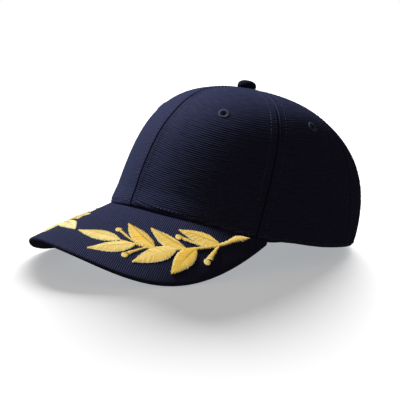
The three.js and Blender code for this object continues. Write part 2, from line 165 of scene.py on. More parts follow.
def grid_faces(rows: int, columns: int, wrap_rows: bool = False, wrap_columns: bool = False) -> np.ndarray:
    """Quads of a grid of points, anticlockwise where columns run right and rows run up.

    Args:
        rows: Points up.
        columns: Points across.
        wrap_rows: Whether the last row joins the first.
        wrap_columns: Whether the last column joins the first.
    Returns:
        An array of quads.
    """
    i, j = np.meshgrid(
        np.arange(rows if wrap_rows else rows - 1),
        np.arange(columns if wrap_columns else columns - 1),
        indexing="ij",
    )
    up, right = (i + 1) % rows, (j + 1) % columns
    quads = [i * columns + j, i * columns + right, up * columns + right, up * columns + j]
    return np.stack(quads, axis=-1).reshape(-1, 4)


def grid_border(rows: int, columns: int) -> list[int]:
    """The points round the edge of a grid, anticlockwise from its lower left corner.

    Args:
        rows: Points up.
        columns: Points across.
    Returns:
        The points' places in the grid, row by row.
    """
    bottom = list(range(columns - 1))
    right = [i * columns + columns - 1 for i in range(rows - 1)]
    top = [(rows - 1) * columns + j for j in range(columns - 1, 0, -1)]
    left = [i * columns for i in range(rows - 1, 0, -1)]
    return bottom + right + top + left


def make_piece(name: str, surface: Surface, material: bpy.types.Material) -> bpy.types.Object:
    """Makes a smooth mesh object in the part's frame, which moves with the part.

    Args:
        name: The piece's name.
        surface: Its mesh in rim-plane millimetres.
        material: Its finish.
    Returns:
        The object.
    """
    mesh = bpy.data.meshes.new(name)
    faces = surface.faces.tolist() if isinstance(surface.faces, np.ndarray) else surface.faces
    mesh.from_pydata(REST.world(surface.points).tolist(), [], faces)
    mesh.validate()
    if surface.cloth is not None:
        loops = np.zeros(len(mesh.loops), np.int32)
        mesh.loops.foreach_get("vertex_index", loops)
        layer = mesh.uv_layers.new(name=UV_NAME)
        layer.data.foreach_set("uv", surface.cloth[loops].astype(np.float32).ravel())
    for key, numbers in surface.values.items():
        attribute = mesh.attributes.new(key, "FLOAT", "POINT")
        attribute.data.foreach_set("value", numbers.astype(np.float32))
    mesh.polygons.foreach_set("use_smooth", np.ones(len(mesh.polygons), bool))
    mesh.materials.append(material)
    piece = bpy.data.objects.new(name, mesh)
    bpy.context.scene.collection.objects.link(piece)
    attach(piece, "root")
    log.info("%s: %d faces", name, len(mesh.polygons))
    return piece


def tube(path: np.ndarray, normals: np.ndarray, half_width: np.ndarray, half_height: np.ndarray,
         sides: int = 5) -> Tube:
    """A closed oval tube along a path, pointed at both ends.

    Args:
        path: Points along it, n by 3.
        normals: The direction away from the cloth at each point.
        half_width: Half of its width at each point.
        half_height: Half of its height at each point.
        sides: Corners of its section.
    Returns:
        The tube.
    """
    across = unit(np.cross(normals, unit(np.gradient(path, axis=0))))
    turn = 2 * math.pi * np.arange(sides) / sides
    ring = (
        path[:, None, :]
        + across[:, None, :] * (half_width[:, None] * np.cos(turn))[..., None]
        + normals[:, None, :] * (half_height[:, None] * np.sin(turn))[..., None]
    )
    count = len(path)
    points = np.concatenate([ring.reshape(-1, 3), path[:1], path[-1:]])
    j = np.arange(sides)
    k = (j + 1) % sides
    quads = [np.stack([i * sides + j, i * sides + k, (i + 1) * sides + k, (i + 1) * sides + j], -1)
             for i in range(count - 1)]
    first = np.stack([np.full(sides, count * sides), k, j, j], -1)
    base = (count - 1) * sides
    last = np.stack([np.full(sides, count * sides + 1), base + j, base + k, base + k], -1)
    return points, np.concatenate([*quads, first, last])


def tubes(parts: Sequence[Tube], tones: Sequence[np.ndarray | float]) -> Surface:
    """Joins many tubes to one surface.

    Args:
        parts: The tubes.
        tones: How pale each tube's thread is, from 0 to 1: one number for all of its points, or one for each.
    Returns:
        One surface.
    """
    faces: list[list[int]] = []
    start = 0
    for points, quads in parts:
        for face in (quads + start).tolist():
            faces.append(face[:3] if face[2] == face[3] else face)
        start += len(points)
    spread = np.concatenate([np.broadcast_to(tone, len(part[0])) for part, tone in zip(parts, tones)])
    return Surface(np.concatenate([part[0] for part in parts]), faces, None, {"tone": spread})


@dataclass(frozen=True)
class Bend:
    """A bend of the crown's lines at the front, the side and the back, as shares."""

    front: float
    side: float
    back: float

    def at(self, turn: np.ndarray) -> np.ndarray:
        """The bend round the crown, smooth through its three values.

        Args:
            turn: Angles from the front in radians.
        Returns:
            The bend at each of them.
        """
        mean = (self.front + self.back) / 4 + self.side / 2
        tilt = (self.front - self.back) / 2
        oval = (self.front + self.back) / 4 - self.side / 2
        return mean + tilt * np.cos(turn) + oval * np.cos(2 * turn)


@dataclass(frozen=True)
class CapShape:
    """The cap's outer surfaces in millimetres and degrees, with the rim in the plane z = 0."""

    rim_half_width: float = 85.6
    rim_half_length: float = 99.6
    crown_height: float = 107.5
    button_forward: float = 7.0
    crown_lean: float = 13.1
    top_slope: float = 2.1
    wall: float = 2.0
    side_seam: float = 62.6
    rear_seam: float = 116.0
    flat_rim: float = 100.0
    peak_length: float = 72.0
    peak_pitch: float = 26.2
    peak_drop: float = 12.9
    peak_corner: float = 69.4
    arch_spread: float = 4.0
    arch_height: float = 68.6
    peak_thickness: float = 3.7
    corner_thickness: float = 1.6
    corner_flare: float = 11.8
    corner_reach: float = 69.9
    front_reach: float = 90.6
    seam_gap: float = 0.3
    taper_start: float = 0.8
    hem_fade: float = 8.0
    root_sag: float = 2.0
    root_sag_reach: float = 16.0
    root_sag_fade: Span = (20.0, 60.0)
    curl: float = 2.1
    curl_place: float = -30.0
    curl_spread: float = 28.0
    curl_rise: Span = (10.0, 52.0)
    rise: Bend = Bend(0.604, 0.626, 0.538)
    lean: Bend = Bend(0.064, -0.116, 0.103)
    shoulder: Bend = Bend(0.971, 0.79, 0.601)

    @property
    def apex(self) -> np.ndarray:
        """Where the panels meet under the button."""
        return np.array([0.0, -self.button_forward, self.crown_height])

    @property
    def arch_half_width(self) -> float:
        """Half the width of the oval that the peak's cross arch is part of."""
        return self.rim_half_width + self.arch_spread

    def rim_plan(self, angle: np.ndarray, outward: float = 0.0) -> np.ndarray:
        """Places on the oval rim in plan.

        Args:
            angle: Degrees round the crown from the front, towards the wearer's left.
            outward: Distance outside the rim.
        Returns:
            x and y along the last axis.
        """
        turn = np.radians(angle)
        point = np.stack([self.rim_half_width * np.sin(turn), -self.rim_half_length * np.cos(turn)], -1)
        normal = np.stack([np.sin(turn) / self.rim_half_width, -np.cos(turn) / self.rim_half_length], -1)
        return point + unit(normal) * outward

    def arch_drop(self, x: np.ndarray) -> np.ndarray:
        """How far the peak's cross arch falls at a distance from the middle."""
        return self.arch_height * (1 - np.sqrt(1 - (x / self.arch_half_width) ** 2))

    def peak_height(self, plan: np.ndarray) -> np.ndarray:
        """Height of the peak's top.

        Args:
            plan: Places in plan, x and y along the last axis.
        Returns:
            The height over each of them.
        """
        pitch = math.radians(self.peak_pitch)
        ahead = -self.rim_half_length - plan[..., 1]
        return self.peak_drop - math.tan(pitch) * ahead - self.arch_drop(plan[..., 0]) / math.cos(pitch)

    def rim_height(self, angle: np.ndarray) -> np.ndarray:
        """Height of the rim: on the peak in front, and level round the back.

        Args:
            angle: Degrees round the crown.
        Returns:
            The height at each angle.
        """
        turn = np.abs(angle)
        held = np.minimum(turn, self.peak_corner) * np.sign(angle)
        settled = smoothstep(turn, self.peak_corner, self.flat_rim)
        return self.peak_height(self.rim_plan(held)) * (1 - settled)

    def peak_thickness_at(self, share: np.ndarray) -> np.ndarray:
        """Thickness of the peak at a share of the way round it, thin at the corners."""
        thin = smoothstep(np.abs(share), self.taper_start, 1.0)
        return self.peak_thickness + (self.corner_thickness - self.peak_thickness) * thin

    def rim_hem(self, angle: np.ndarray) -> np.ndarray:
        """How far the crown's cloth reaches down over the peak's inner edge.

        Args:
            angle: Degrees round the crown.
        Returns:
            The reach at each angle.
        """
        turn = np.abs(angle)
        kept = 1 - smoothstep(turn, self.peak_corner, self.peak_corner + self.hem_fade)
        return self.peak_thickness_at(np.minimum(turn / self.peak_corner, 1)) * kept

    def crown_points(self, angle: np.ndarray, share: np.ndarray) -> np.ndarray:
        """Places on the crown's outer cloth.

        Args:
            angle: Degrees round the crown.
            share: Curve shares from the rim to the apex, of the same shape as angle.
        Returns:
            Points along a new last axis.
        """
        turn = np.radians(angle)
        foot = np.concatenate([self.rim_plan(angle), self.rim_height(angle)[..., None]], -1)
        tangent = math.tan(math.radians(self.crown_lean))
        height = self.crown_height - foot[..., 2]
        outward = foot - np.array([0.0, self.apex[1] - self.crown_height * tangent, 0.0])
        outward[..., 2] = 0.0
        radius = np.linalg.norm(outward, axis=-1)
        outward = unit(outward)
        rise = self.rise.at(turn) * height
        low = foot + outward * (self.lean.at(turn) * radius)[..., None]
        low[..., 1] += rise * tangent
        low[..., 2] += rise
        reach = self.shoulder.at(turn) * radius
        high = self.apex + outward * reach[..., None]
        high[..., 2] -= math.tan(math.radians(self.top_slope)) * outward[..., 1] * reach
        t = share[..., None]
        return (
            foot * (1 - t) ** 3
            + low * 3 * t * (1 - t) ** 2
            + high * 3 * t ** 2 * (1 - t)
            + self.apex * t ** 3
        )

    def crown_shares(self, angle: np.ndarray, distance: np.ndarray, from_apex: bool = False) -> np.ndarray:
        """Curve shares of places a distance along the cloth from the rim or from the apex.

        Args:
            angle: Degrees round the crown, one for each line.
            distance: Distances, of shape lines by places.
            from_apex: Whether they are measured down from the apex.
        Returns:
            Shares, of the same shape as distance.
        """
        steps = np.linspace(0, 1, LINE_POINTS)
        lines = self.crown_points(np.repeat(angle[:, None], len(steps), 1), np.tile(steps, (len(angle), 1)))
        runs = np.linalg.norm(np.diff(lines, axis=1), axis=-1)
        lengths = np.concatenate([np.zeros((len(angle), 1)), np.cumsum(runs, axis=1)], axis=1)
        shares = np.empty_like(distance)
        for i, length in enumerate(lengths):
            wanted = length[-1] - distance[i] if from_apex else distance[i]
            shares[i] = np.interp(wanted, length, steps)
        return shares

    def crown_length(self, angle: float) -> float:
        """Length of the cloth from the rim to the apex at one angle."""
        line = self.crown_points(np.full(LINE_POINTS, angle), np.linspace(0, 1, LINE_POINTS))
        return float(np.linalg.norm(np.diff(line, axis=0), axis=1).sum())

    def crown_spot(self, angle: float, from_apex: float) -> tuple[np.ndarray, np.ndarray]:
        """A place on the crown and the direction out of it.

        Args:
            angle: Degrees round the crown.
            from_apex: Distance down the cloth from the apex.
        Returns:
            The point and the unit normal.
        """
        share = self.crown_shares(np.array([angle]), np.array([[from_apex]]), True)[0, 0]
        angles = np.array([angle, angle + ANGLE_STEP, angle - ANGLE_STEP, angle, angle])
        shares = np.array([share, share, share, share + SHARE_STEP, share - SHARE_STEP])
        point, right, left, up, down = self.crown_points(angles, shares)
        return point, unit(np.cross(right - left, up - down))

    def arch_table(self) -> tuple[np.ndarray, np.ndarray, np.ndarray]:
        """The cross arch from the middle of the peak to one side.

        Returns:
            Distances along the cloth, and x and the height at each of them.
        """
        turn = np.linspace(0, math.pi / 2, ARCH_POINTS)
        x = self.arch_half_width * np.sin(turn)
        z = self.arch_height * (np.cos(turn) - 1)
        run = np.concatenate([[0], np.cumsum(np.hypot(np.diff(x), np.diff(z)))])
        return run, x, z

    def pattern_of(self, plan: np.ndarray) -> np.ndarray:
        """Lays places of the peak out flat.

        Args:
            plan: Places in plan.
        Returns:
            Pattern places: x along the cloth, y forward.
        """
        run, x, _ = self.arch_table()
        pitch = math.radians(self.peak_pitch)
        across = np.sign(plan[..., 0]) * np.interp(np.abs(plan[..., 0]), x, run)
        forward = -self.rim_half_length - plan[..., 1] + self.arch_drop(plan[..., 0]) * math.sin(pitch)
        return np.stack([across, forward / math.cos(pitch)], -1)

    def pattern_edge(self, share: np.ndarray) -> np.ndarray:
        """The peak's outline in its flat pattern.

        Args:
            share: Shares round the peak, from -1 at the right corner to 1 at the left.
        Returns:
            Pattern places along the last axis.
        """
        corner = self.pattern_of(self.rim_plan(np.array(self.peak_corner), self.seam_gap))
        t = np.abs(share)[..., None]
        edge = (
            np.array([0.0, self.peak_length]) * (1 - t) ** 3
            + np.array([self.front_reach, self.peak_length]) * 3 * t * (1 - t) ** 2
            + (corner + np.array([self.corner_flare, self.corner_reach])) * 3 * t ** 2 * (1 - t)
            + corner * t ** 3
        )
        edge[..., 0] *= np.where(share < 0, -1.0, 1.0)
        return edge

    def pattern_place(self, share: np.ndarray, out: np.ndarray) -> np.ndarray:
        """Pattern places by share round the rim, -1 to 1, and share out to the edge."""
        root = self.pattern_of(self.rim_plan(np.asarray(share) * self.peak_corner, self.seam_gap))
        return root + (self.pattern_edge(np.asarray(share, float)) - root) * np.asarray(out)[..., None]

    def on_peak(self, place: np.ndarray, depth: np.ndarray | float = 0.0,
                plumb: np.ndarray | float = 0.0) -> np.ndarray:
        """Bends pattern places up onto the peak.

        Args:
            place: Pattern places.
            depth: Depth below the peak's top.
            plumb: Share by which the depth is taken straight down, not square to the cloth.
        Returns:
            Points along the last axis.
        """
        run, x, z = self.arch_table()
        pitch = math.radians(self.peak_pitch)
        side = np.where(place[..., 0] < 0, -1.0, 1.0)
        reach = np.minimum(np.abs(place[..., 0]), run[-1])
        arch_x, arch_z = np.interp(reach, run, x), np.interp(reach, run, z)
        turn = np.arcsin(np.clip(arch_x / self.arch_half_width, 0, 1))
        tangent = unit(np.stack([self.arch_half_width * np.cos(turn), -self.arch_height * np.sin(turn)], -1))

        def framed(across: np.ndarray, rise: np.ndarray) -> np.ndarray:
            """Turns a direction across the peak and off its board to the rim plane's frame."""
            return np.stack([across, -rise * math.sin(pitch), rise * math.cos(pitch)], -1)

        square = framed(side * tangent[..., 1], -tangent[..., 0])
        plumb = np.broadcast_to(np.asarray(plumb, float), square.shape[:-1])[..., None]
        down = unit(square * (1 - plumb) + np.array([0.0, 0.0, -1.0]) * plumb)
        point = framed(side * arch_x, arch_z)
        point[..., 1] -= self.rim_half_length + place[..., 1] * math.cos(pitch)
        point[..., 2] += self.peak_drop - place[..., 1] * math.sin(pitch)
        point[..., 2] += self.curled(point) - self.sag(point)
        depth = np.broadcast_to(np.asarray(depth, float), square.shape[:-1])[..., None]
        return point + down * depth

    def sag(self, point: np.ndarray) -> np.ndarray:
        """How far the peak's root hangs below its plain arch, where the crown's weight bends it.

        Args:
            point: Points on the plain arch.
        Returns:
            The fall at each of them.
        """
        ring = np.hypot(point[..., 0] / self.rim_half_width, point[..., 1] / self.rim_half_length)
        ahead = (ring - 1) * (self.rim_half_width + self.rim_half_length) / 2
        middle = 1 - smoothstep(np.abs(point[..., 0]), *self.root_sag_fade)
        return self.root_sag * dip(ahead, self.root_sag_reach) * middle

    def curled(self, point: np.ndarray) -> np.ndarray:
        """How far the peak's front is bent up by hand, a little to the wearer's right of the middle.

        Args:
            point: Points on the plain arch.
        Returns:
            The rise at each of them.
        """
        ahead = -self.rim_half_length - point[..., 1]
        aside = dip(point[..., 0] - self.curl_place, self.curl_spread)
        return self.curl * aside * smoothstep(ahead, *self.curl_rise)

    def above_peak(self, place: np.ndarray, height: np.ndarray | float) -> np.ndarray:
        """Points over the peak's cloth, square to it."""
        return self.on_peak(place, -np.asarray(height, float))


SHAPE = CapShape()


def to_linear(colour: str) -> tuple[float, float, float, float]:
    """Turns an sRGB hex colour to linear.

    Args:
        colour: Six hex digits after a hash.
    Returns:
        Red, green, blue and alpha for a shader socket.
    """
    parts = [int(colour[i:i + 2], 16) / 255 for i in (1, 3, 5)]
    red, green, blue = (c / 12.92 if c <= 0.04045 else ((c + 0.055) / 1.055) ** 2.4 for c in parts)
    return red, green, blue, 1.0


def add_node(tree: bpy.types.NodeTree, kind: str, values: dict[Any, Any] | None = None,
             links: dict[Any, bpy.types.NodeSocket] | None = None, **settings: Any) -> bpy.types.Node:
    """Adds a shader node.

    Args:
        tree: The material's tree.
        kind: The node's type.
        values: Numbers or colours of its input sockets.
        links: Sockets that feed its input sockets.
        **settings: The node's own settings.
    Returns:
        The node.
    """
    node = tree.nodes.new(kind)
    for name, value in settings.items():
        setattr(node, name, value)
    for name, value in (values or {}).items():
        node.inputs[name].default_value = value
    for name, socket in (links or {}).items():
        tree.links.new(socket, node.inputs[name])
    return node


def new_material(name: str) -> tuple[bpy.types.Material, bpy.types.NodeTree, bpy.types.Node]:
    """An empty node material.

    Args:
        name: The material's name.
    Returns:
        The material, its tree and its output node.
    """
    material = bpy.data.materials.new(name)
    material.use_nodes = True
    material.node_tree.nodes.clear()
    output = add_node(material.node_tree, "ShaderNodeOutputMaterial")
    return material, material.node_tree, output


@dataclass(frozen=True)
class RibbedCotton:
    """Cotton weave with ribs: raised cords of thick weft that catch the light over grooves, with painted
    shade: the grooves' colour is darker than the cords'.

    Lengths are in millimetres along the cloth coordinates that each piece carries. The first runs along
    the ribs, the second across them. The real cloth has a thread every 0.4 mm or so, which is too fine to
    show, so it is drawn two to three times as coarse.
    """

    name: str
    cord: str
    # The grooves' colour: painted shade, darker than the cords'
    groove: str
    rib: float
    thread: float = 0.9
    rib_relief: float = 0.0
    thread_relief: float = 0.05
    fuzz_relief: float = 0.08
    # How far the rib wave darkens the colour towards the grooves: painted shade
    rib_groove_shade: float = 0.6
    thread_tint: float = 0.12
    slub: float = 7.0
    roughness: float = 0.82
    gloss: float = 0.06
    sheen: float = 0.03

    def material(self) -> bpy.types.Material:
        """Makes the shader: rib and thread waves from cloth coordinates, with slubs in colour and height, and
        painted shade in the rib grooves.

        Returns:
            The material.
        """
        material, tree, output = new_material(self.name)
        cloth = add_node(tree, "ShaderNodeUVMap", uv_map=UV_NAME)
        parts = add_node(tree, "ShaderNodeSeparateXYZ", links={0: cloth.outputs[0]})
        rib = self.muted(tree, self.wave(tree, parts.outputs["Y"], self.rib))
        thread = self.wave(tree, parts.outputs["X"], self.thread)
        # Slubs run along the ribs, so the noise is stretched that way
        spread = add_node(tree, "ShaderNodeMapping", {"Scale": (1 / self.slub, 1 / self.rib, 1.0)},
                          {"Vector": cloth.outputs[0]})
        slubs = add_node(tree, "ShaderNodeTexNoise", {"Scale": 1.0, "Detail": 3.0, "Roughness": 0.65},
                         {"Vector": spread.outputs[0]})
        lit = add_node(tree, "ShaderNodeMath", {1: self.rib_groove_shade}, {0: rib}, operation="MULTIPLY")
        mixed = add_node(tree, "ShaderNodeMath", links={0: lit.outputs[0], 1: slubs.outputs[0]},
                         operation="ADD")
        grain = add_node(tree, "ShaderNodeMath", {1: self.thread_tint, 2: -self.thread_tint}, {0: thread},
                         operation="MULTIPLY_ADD")
        share = add_node(tree, "ShaderNodeMath", links={0: mixed.outputs[0], 1: grain.outputs[0]},
                         operation="ADD")
        # Painted shade: the colour darkens from the cords' to the grooves' along the rib wave
        tint = add_node(tree, "ShaderNodeMix", {"A": to_linear(self.groove), "B": to_linear(self.cord)},
                        {"Factor": share.outputs[0]}, data_type="RGBA")
        ribs = add_node(tree, "ShaderNodeMath", {1: self.rib_relief}, {0: rib}, operation="MULTIPLY")
        threads = add_node(tree, "ShaderNodeMath", {1: self.thread_relief}, {0: thread, 2: ribs.outputs[0]},
                           operation="MULTIPLY_ADD")
        height = add_node(tree, "ShaderNodeMath", {1: self.fuzz_relief},
                          {0: slubs.outputs[0], 2: threads.outputs[0]}, operation="MULTIPLY_ADD")
        bump = add_node(tree, "ShaderNodeBump", {"Distance": MM, "Strength": 1.0},
                        {"Height": height.outputs[0]})
        shader = add_node(tree, "ShaderNodeBsdfPrincipled", {
            "Roughness": self.roughness, "Sheen Weight": self.sheen, "Sheen Roughness": 0.5,
            "Sheen Tint": to_linear(self.cord), "Specular IOR Level": self.gloss, "IOR": 1.45,
        }, {"Base Color": tint.outputs["Result"], "Normal": bump.outputs[0]})
        tree.links.new(shader.outputs[0], output.inputs["Surface"])
        return material

    @staticmethod
    def muted(tree: bpy.types.NodeTree, rib: bpy.types.NodeSocket) -> bpy.types.NodeSocket:
        """The rib wave, flattened to its middle where the cloth's own "smooth" value is 1.

        Args:
            tree: The material's tree.
            rib: The rib wave.
        Returns:
            The flattened wave's socket.
        """
        smooth = add_node(tree, "ShaderNodeAttribute", attribute_name="smooth")
        kept = add_node(tree, "ShaderNodeMath", {0: 1.0}, {1: smooth.outputs["Fac"]}, operation="SUBTRACT")
        swing = add_node(tree, "ShaderNodeMath", {1: 0.5}, {0: rib}, operation="SUBTRACT")
        return add_node(tree, "ShaderNodeMath", {2: 0.5}, {0: swing.outputs[0], 1: kept.outputs[0]},
                        operation="MULTIPLY_ADD").outputs[0]

    @staticmethod
    def wave(tree: bpy.types.NodeTree, place: bpy.types.NodeSocket, pitch: float) -> bpy.types.NodeSocket:
        """A wave from 0 to 1 that is highest at whole pitches.

        Args:
            tree: The material's tree.
            place: Millimetres along the cloth.
            pitch: Its wavelength in millimetres.
        Returns:
            The wave's socket.
        """
        turn = add_node(tree, "ShaderNodeMath", {1: 2 * math.pi / pitch}, {0: place}, operation="MULTIPLY")
        cosine = add_node(tree, "ShaderNodeMath", links={0: turn.outputs[0]}, operation="COSINE")
        return add_node(tree, "ShaderNodeMath", {1: 0.5, 2: 0.5}, {0: cosine.outputs[0]},
                        operation="MULTIPLY_ADD").outputs[0]


@dataclass(frozen=True)
class StitchThread:
    """Twisted thread: each stitch is a little lighter or darker than the next, with a soft gloss."""

    name: str
    pale: str
    deep: str
    roughness: float
    specular: float
    sheen: float = 0.1

    def material(self) -> bpy.types.Material:
        """Makes the shader: pale to deep by the tone that each strand carries.

        Returns:
            The material.
        """
        material, tree, output = new_material(self.name)
        tone = add_node(tree, "ShaderNodeAttribute", attribute_name="tone")
        tint = add_node(tree, "ShaderNodeMix", {"A": to_linear(self.deep), "B": to_linear(self.pale)},
                        {"Factor": tone.outputs["Fac"]}, data_type="RGBA")
        shader = add_node(tree, "ShaderNodeBsdfPrincipled", {
            "Roughness": self.roughness, "Specular IOR Level": self.specular, "IOR": 1.5,
            "Sheen Weight": self.sheen, "Sheen Roughness": 0.4, "Sheen Tint": to_linear(self.pale),
        }, {"Base Color": tint.outputs["Result"]})
        tree.links.new(shader.outputs[0], output.inputs["Surface"])
        return material


@dataclass(frozen=True)
class Wardrobe:
    """The cap's finishes, made once."""

    ribbed: bpy.types.Material
    peak_cloth: bpy.types.Material
    twill: bpy.types.Material
    button_cloth: bpy.types.Material
    navy_thread: bpy.types.Material
    gold_thread: bpy.types.Material

    @classmethod
    def made(cls) -> "Wardrobe":
        """Makes every finish.

        Returns:
            The finishes.
        """
        return cls(
            # Ottoman-ribbed cotton, woven: the ribs are modelled, so the shader only paints shade into their
            # grooves
            ribbed=RibbedCotton("ribbed_cotton", "#474e74", "#1e2238", rib=CrownPanel.rib_pitch).material(),
            # Cotton bengaline over the peak board, woven: low ribs that run forward at a slant, with painted
            # shade in their grooves
            peak_cloth=RibbedCotton("bengaline_cotton", "#474d72", "#1c1f36", rib=Peak.rib_pitch,
                                    rib_relief=0.5, thread=1.3, thread_relief=0.1).material(),
            # Plain cotton twill, woven: a flat dark cloth with a fine grain on the hidden faces
            twill=RibbedCotton("twill_cotton", "#3c4164", "#272a44", rib=1.2, rib_relief=0.12,
                               thread=1.2).material(),
            # Cotton sateen on the button, woven: darker than the panels, with ribs too fine to show
            button_cloth=RibbedCotton("sateen_cotton", "#2a2f4b", "#1a1d36", rib=1.2, thread=1.2).material(),
            # Polyester sewing thread, spun and dyed: a slight shine on each stitch
            navy_thread=StitchThread("navy_sewing_thread", "#727a9e", "#444b6f", roughness=0.6,
                                     specular=0.15).material(),
            # Rayon embroidery thread, bright filament: a silky gloss, with painted highlights: each stitch is
            # paler where it turns down, and the far branch is paler all over
            gold_thread=StitchThread("gold_rayon_thread", "#f6efb6", "#dcb02a", roughness=0.5,
                                     specular=0.15, sheen=0.2).material(),
        )


@dataclass
class CrownPanel:
    """One sewn panel of the crown, as a closed cloth wall with ribs, seam folds and a rolled rim.

    Lengths are in millimetres along or off the cloth, and turns in degrees round the crown.
    """

    name: str
    start: float
    end: float
    rib_strength: float = 1.0
    rib_pitch: float = 1.45
    rib_height: float = 0.4
    rib_level: float = 0.6
    rib_start_at_seam: Span = (0.2, 1.6)
    rib_start_at_rim: Span = (1.1, 2.0)
    rib_fall_aside: float = 0.12
    rib_fall_growth: float = 0.0017
    rib_fall_back: float = 0.1
    least_rise: float = 0.55
    slub_length: float = 6.0
    slub_girth: Span = (0.2, 1.6)
    slub_stagger: float = 7.0
    slub_count: int = 256
    crest: Span = (0.42, 0.76)
    crest_flatness: float = 0.92
    seam_gap: float = 0.16
    groove_depth: float = 1.0
    groove_width: float = 0.45
    welt: float = 0.2
    welt_place: float = 1.1
    welt_width: float = 0.5
    allowance: float = 5.2
    allowance_edge: float = 0.8
    swell: float = 0.12
    swell_start: Span = (0.3, 1.6)
    stitch_row_room: float = 2.0
    stitch_pull: float = 0.06
    pull_past_allowance: float = 0.4
    pull_width: float = 0.6
    fold_room: Span = (8.0, 30.0)
    rim_roll: float = 0.9
    rim_roll_width: float = 0.9
    rim_corner_fade: float = 6.0
    hem_height: float = 3.0
    peak_slot: float = 1.8
    peak_slot_start: float = 0.75
    peak_slot_end: float = 1.2
    peak_slot_turn: Span = (-12.0, 8.0)
    peak_slot_edge: float = 0.3
    flare: float = 1.6
    flare_height: float = 15.0
    flare_turn: Span = (25.0, 58.0)
    loft: float = 0.3
    ridge: float = 1.7
    ridge_width: float = 12.0
    ridge_start: float = 20.0
    ridge_crest: Span = (0.35, 0.7)
    seam_wander: float = 1.9
    seam_wander_spread: float = 26.0
    seam_wander_end: float = 0.8
    hollow: float = 0.22
    hollow_runs: Span = (19.0, 23.0)
    hollow_phase: float = 0.7
    ripple: float = 0.12
    ripple_runs: Span = (9.0, 13.0)
    slack_start: Span = (2.0, 16.0)
    deepest: float = 1.6
    tip_distance: float = 2.5
    edge_crowding: float = 0.8
    rows: int = 540
    columns: int = 72
    inner_rows: int = 30
    inner_columns: int = 12
    shape: CapShape = field(default_factory=lambda: SHAPE)

    def __post_init__(self) -> None:
        """Works out the outer cloth's places, its normals and its distances."""
        across = self.crowded(np.linspace(0, 1, self.columns + 1))
        up = np.linspace(0, 1, self.rows + 1)
        angles = self.start + (self.end - self.start) * across
        lengths = np.array([self.shape.crown_length(a) for a in angles]) - self.tip_distance
        shares = self.shape.crown_shares(angles, up[None, :] * lengths[:, None]).T
        angle_grid = np.tile(angles, (self.rows + 1, 1))
        rough = self.shape.crown_points(angle_grid, shares)
        runs = np.linalg.norm(np.diff(rough, axis=1), axis=-1)
        self.width = runs.sum(axis=1)
        trim = (self.end - self.start) * self.seam_gap / 2 / self.width
        squeeze = (1 - 2 * trim / (self.end - self.start))[:, None]
        middle = (self.start + self.end) / 2
        angle_grid = middle + (angle_grid - middle) * squeeze
        # The front seam strays a little to the wearer's left half-way up, and both panels with it
        stray = self.seam_wander * dip(angle_grid, self.seam_wander_spread)
        climb = np.sin(math.pi * np.minimum(up / self.seam_wander_end, 1.0))
        angle_grid = angle_grid + stray * climb[:, None]
        self.points = self.shape.crown_points(angle_grid, shares)
        self.normals = unit(np.cross(np.gradient(self.points, axis=1), np.gradient(self.points, axis=0)))
        self.from_left = across[None, :] * self.width[:, None]
        self.from_right = self.width[:, None] - self.from_left
        self.from_rim = up[:, None] * lengths[None, :]
        self.cloth = np.stack([self.from_left - self.width[:, None] / 2, self.rib_place()], -1)
        self.outer = self.points + self.normals * self.relief()[..., None]
        hem = self.shape.rim_hem(angle_grid[:1])
        drop = hem * (1 - smoothstep(self.from_rim, 0, self.hem_height))
        self.outer[..., 2] -= drop
        self.points[..., 2] -= drop

    def crowded(self, even: np.ndarray) -> np.ndarray:
        """Shares across the panel, crowded towards its seams, where the folds need more points."""
        return even - self.edge_crowding * np.sin(2 * math.pi * even) / (2 * math.pi)

    def rib_place(self) -> np.ndarray:
        """How far up the cloth each place's rib lies.

        The ribs lie in planes that fall to the side and towards the back. Where the crown turns level they
        keep to the cloth instead, so that none gets wider than a real one.

        Returns:
            Millimetres across the ribs, rows by columns.
        """
        x, y, z = np.moveaxis(self.points, -1, 0)
        aside = self.rib_fall_aside + self.rib_fall_growth * z
        height = z + aside * np.abs(x) - self.rib_fall_back * y
        rise = np.maximum(np.diff(height, axis=0), self.least_rise * np.diff(self.from_rim, axis=0))
        return np.concatenate([height[:1], height[:1] + np.cumsum(rise, axis=0)])

    def relief(self) -> np.ndarray:
        """How far each place of the outer cloth stands out: ribs, seam folds, rim and slack.

        Returns:
            Millimetres off the plain cloth, rows by columns.
        """
        edge = np.minimum(self.from_left, self.from_right)
        off_seam = smoothstep(edge, *self.rib_start_at_seam)
        started = off_seam * smoothstep(self.from_rim, *self.rib_start_at_rim)
        cord = 0.5 + 0.5 * np.cos(2 * math.pi * self.cloth[..., 1] / self.rib_pitch)
        round_cord = np.sqrt(cord) - self.rib_level
        ribs = self.rib_height * round_cord * started * (1 - self.smooth()) * self.slubs()
        welt = self.welt * dip(edge - self.welt_place, self.welt_width)
        groove = self.groove_depth * dip(edge, self.groove_width)
        ended = smoothstep(edge, self.allowance - self.allowance_edge, self.allowance + self.allowance_edge)
        raised = self.swell * smoothstep(edge, *self.swell_start) * (1 - ended)
        pulled = self.stitch_pull * dip(edge - self.allowance - self.pull_past_allowance, self.pull_width)
        folds = welt - groove + (raised - pulled) * smoothstep(self.width, *self.fold_room)[:, None]
        total = self.loft + ribs + folds + self.rim() + self.front_ridge() + self.slack()
        return np.maximum(total, -self.deepest)

    def smooth(self) -> np.ndarray:
        """How flat the ribs are pulled at each place: nearly flat where the crown turns level on top."""
        level = smoothstep(self.normals[..., 2], *self.crest)
        return 1 - self.rib_strength * (1 - self.crest_flatness * level)

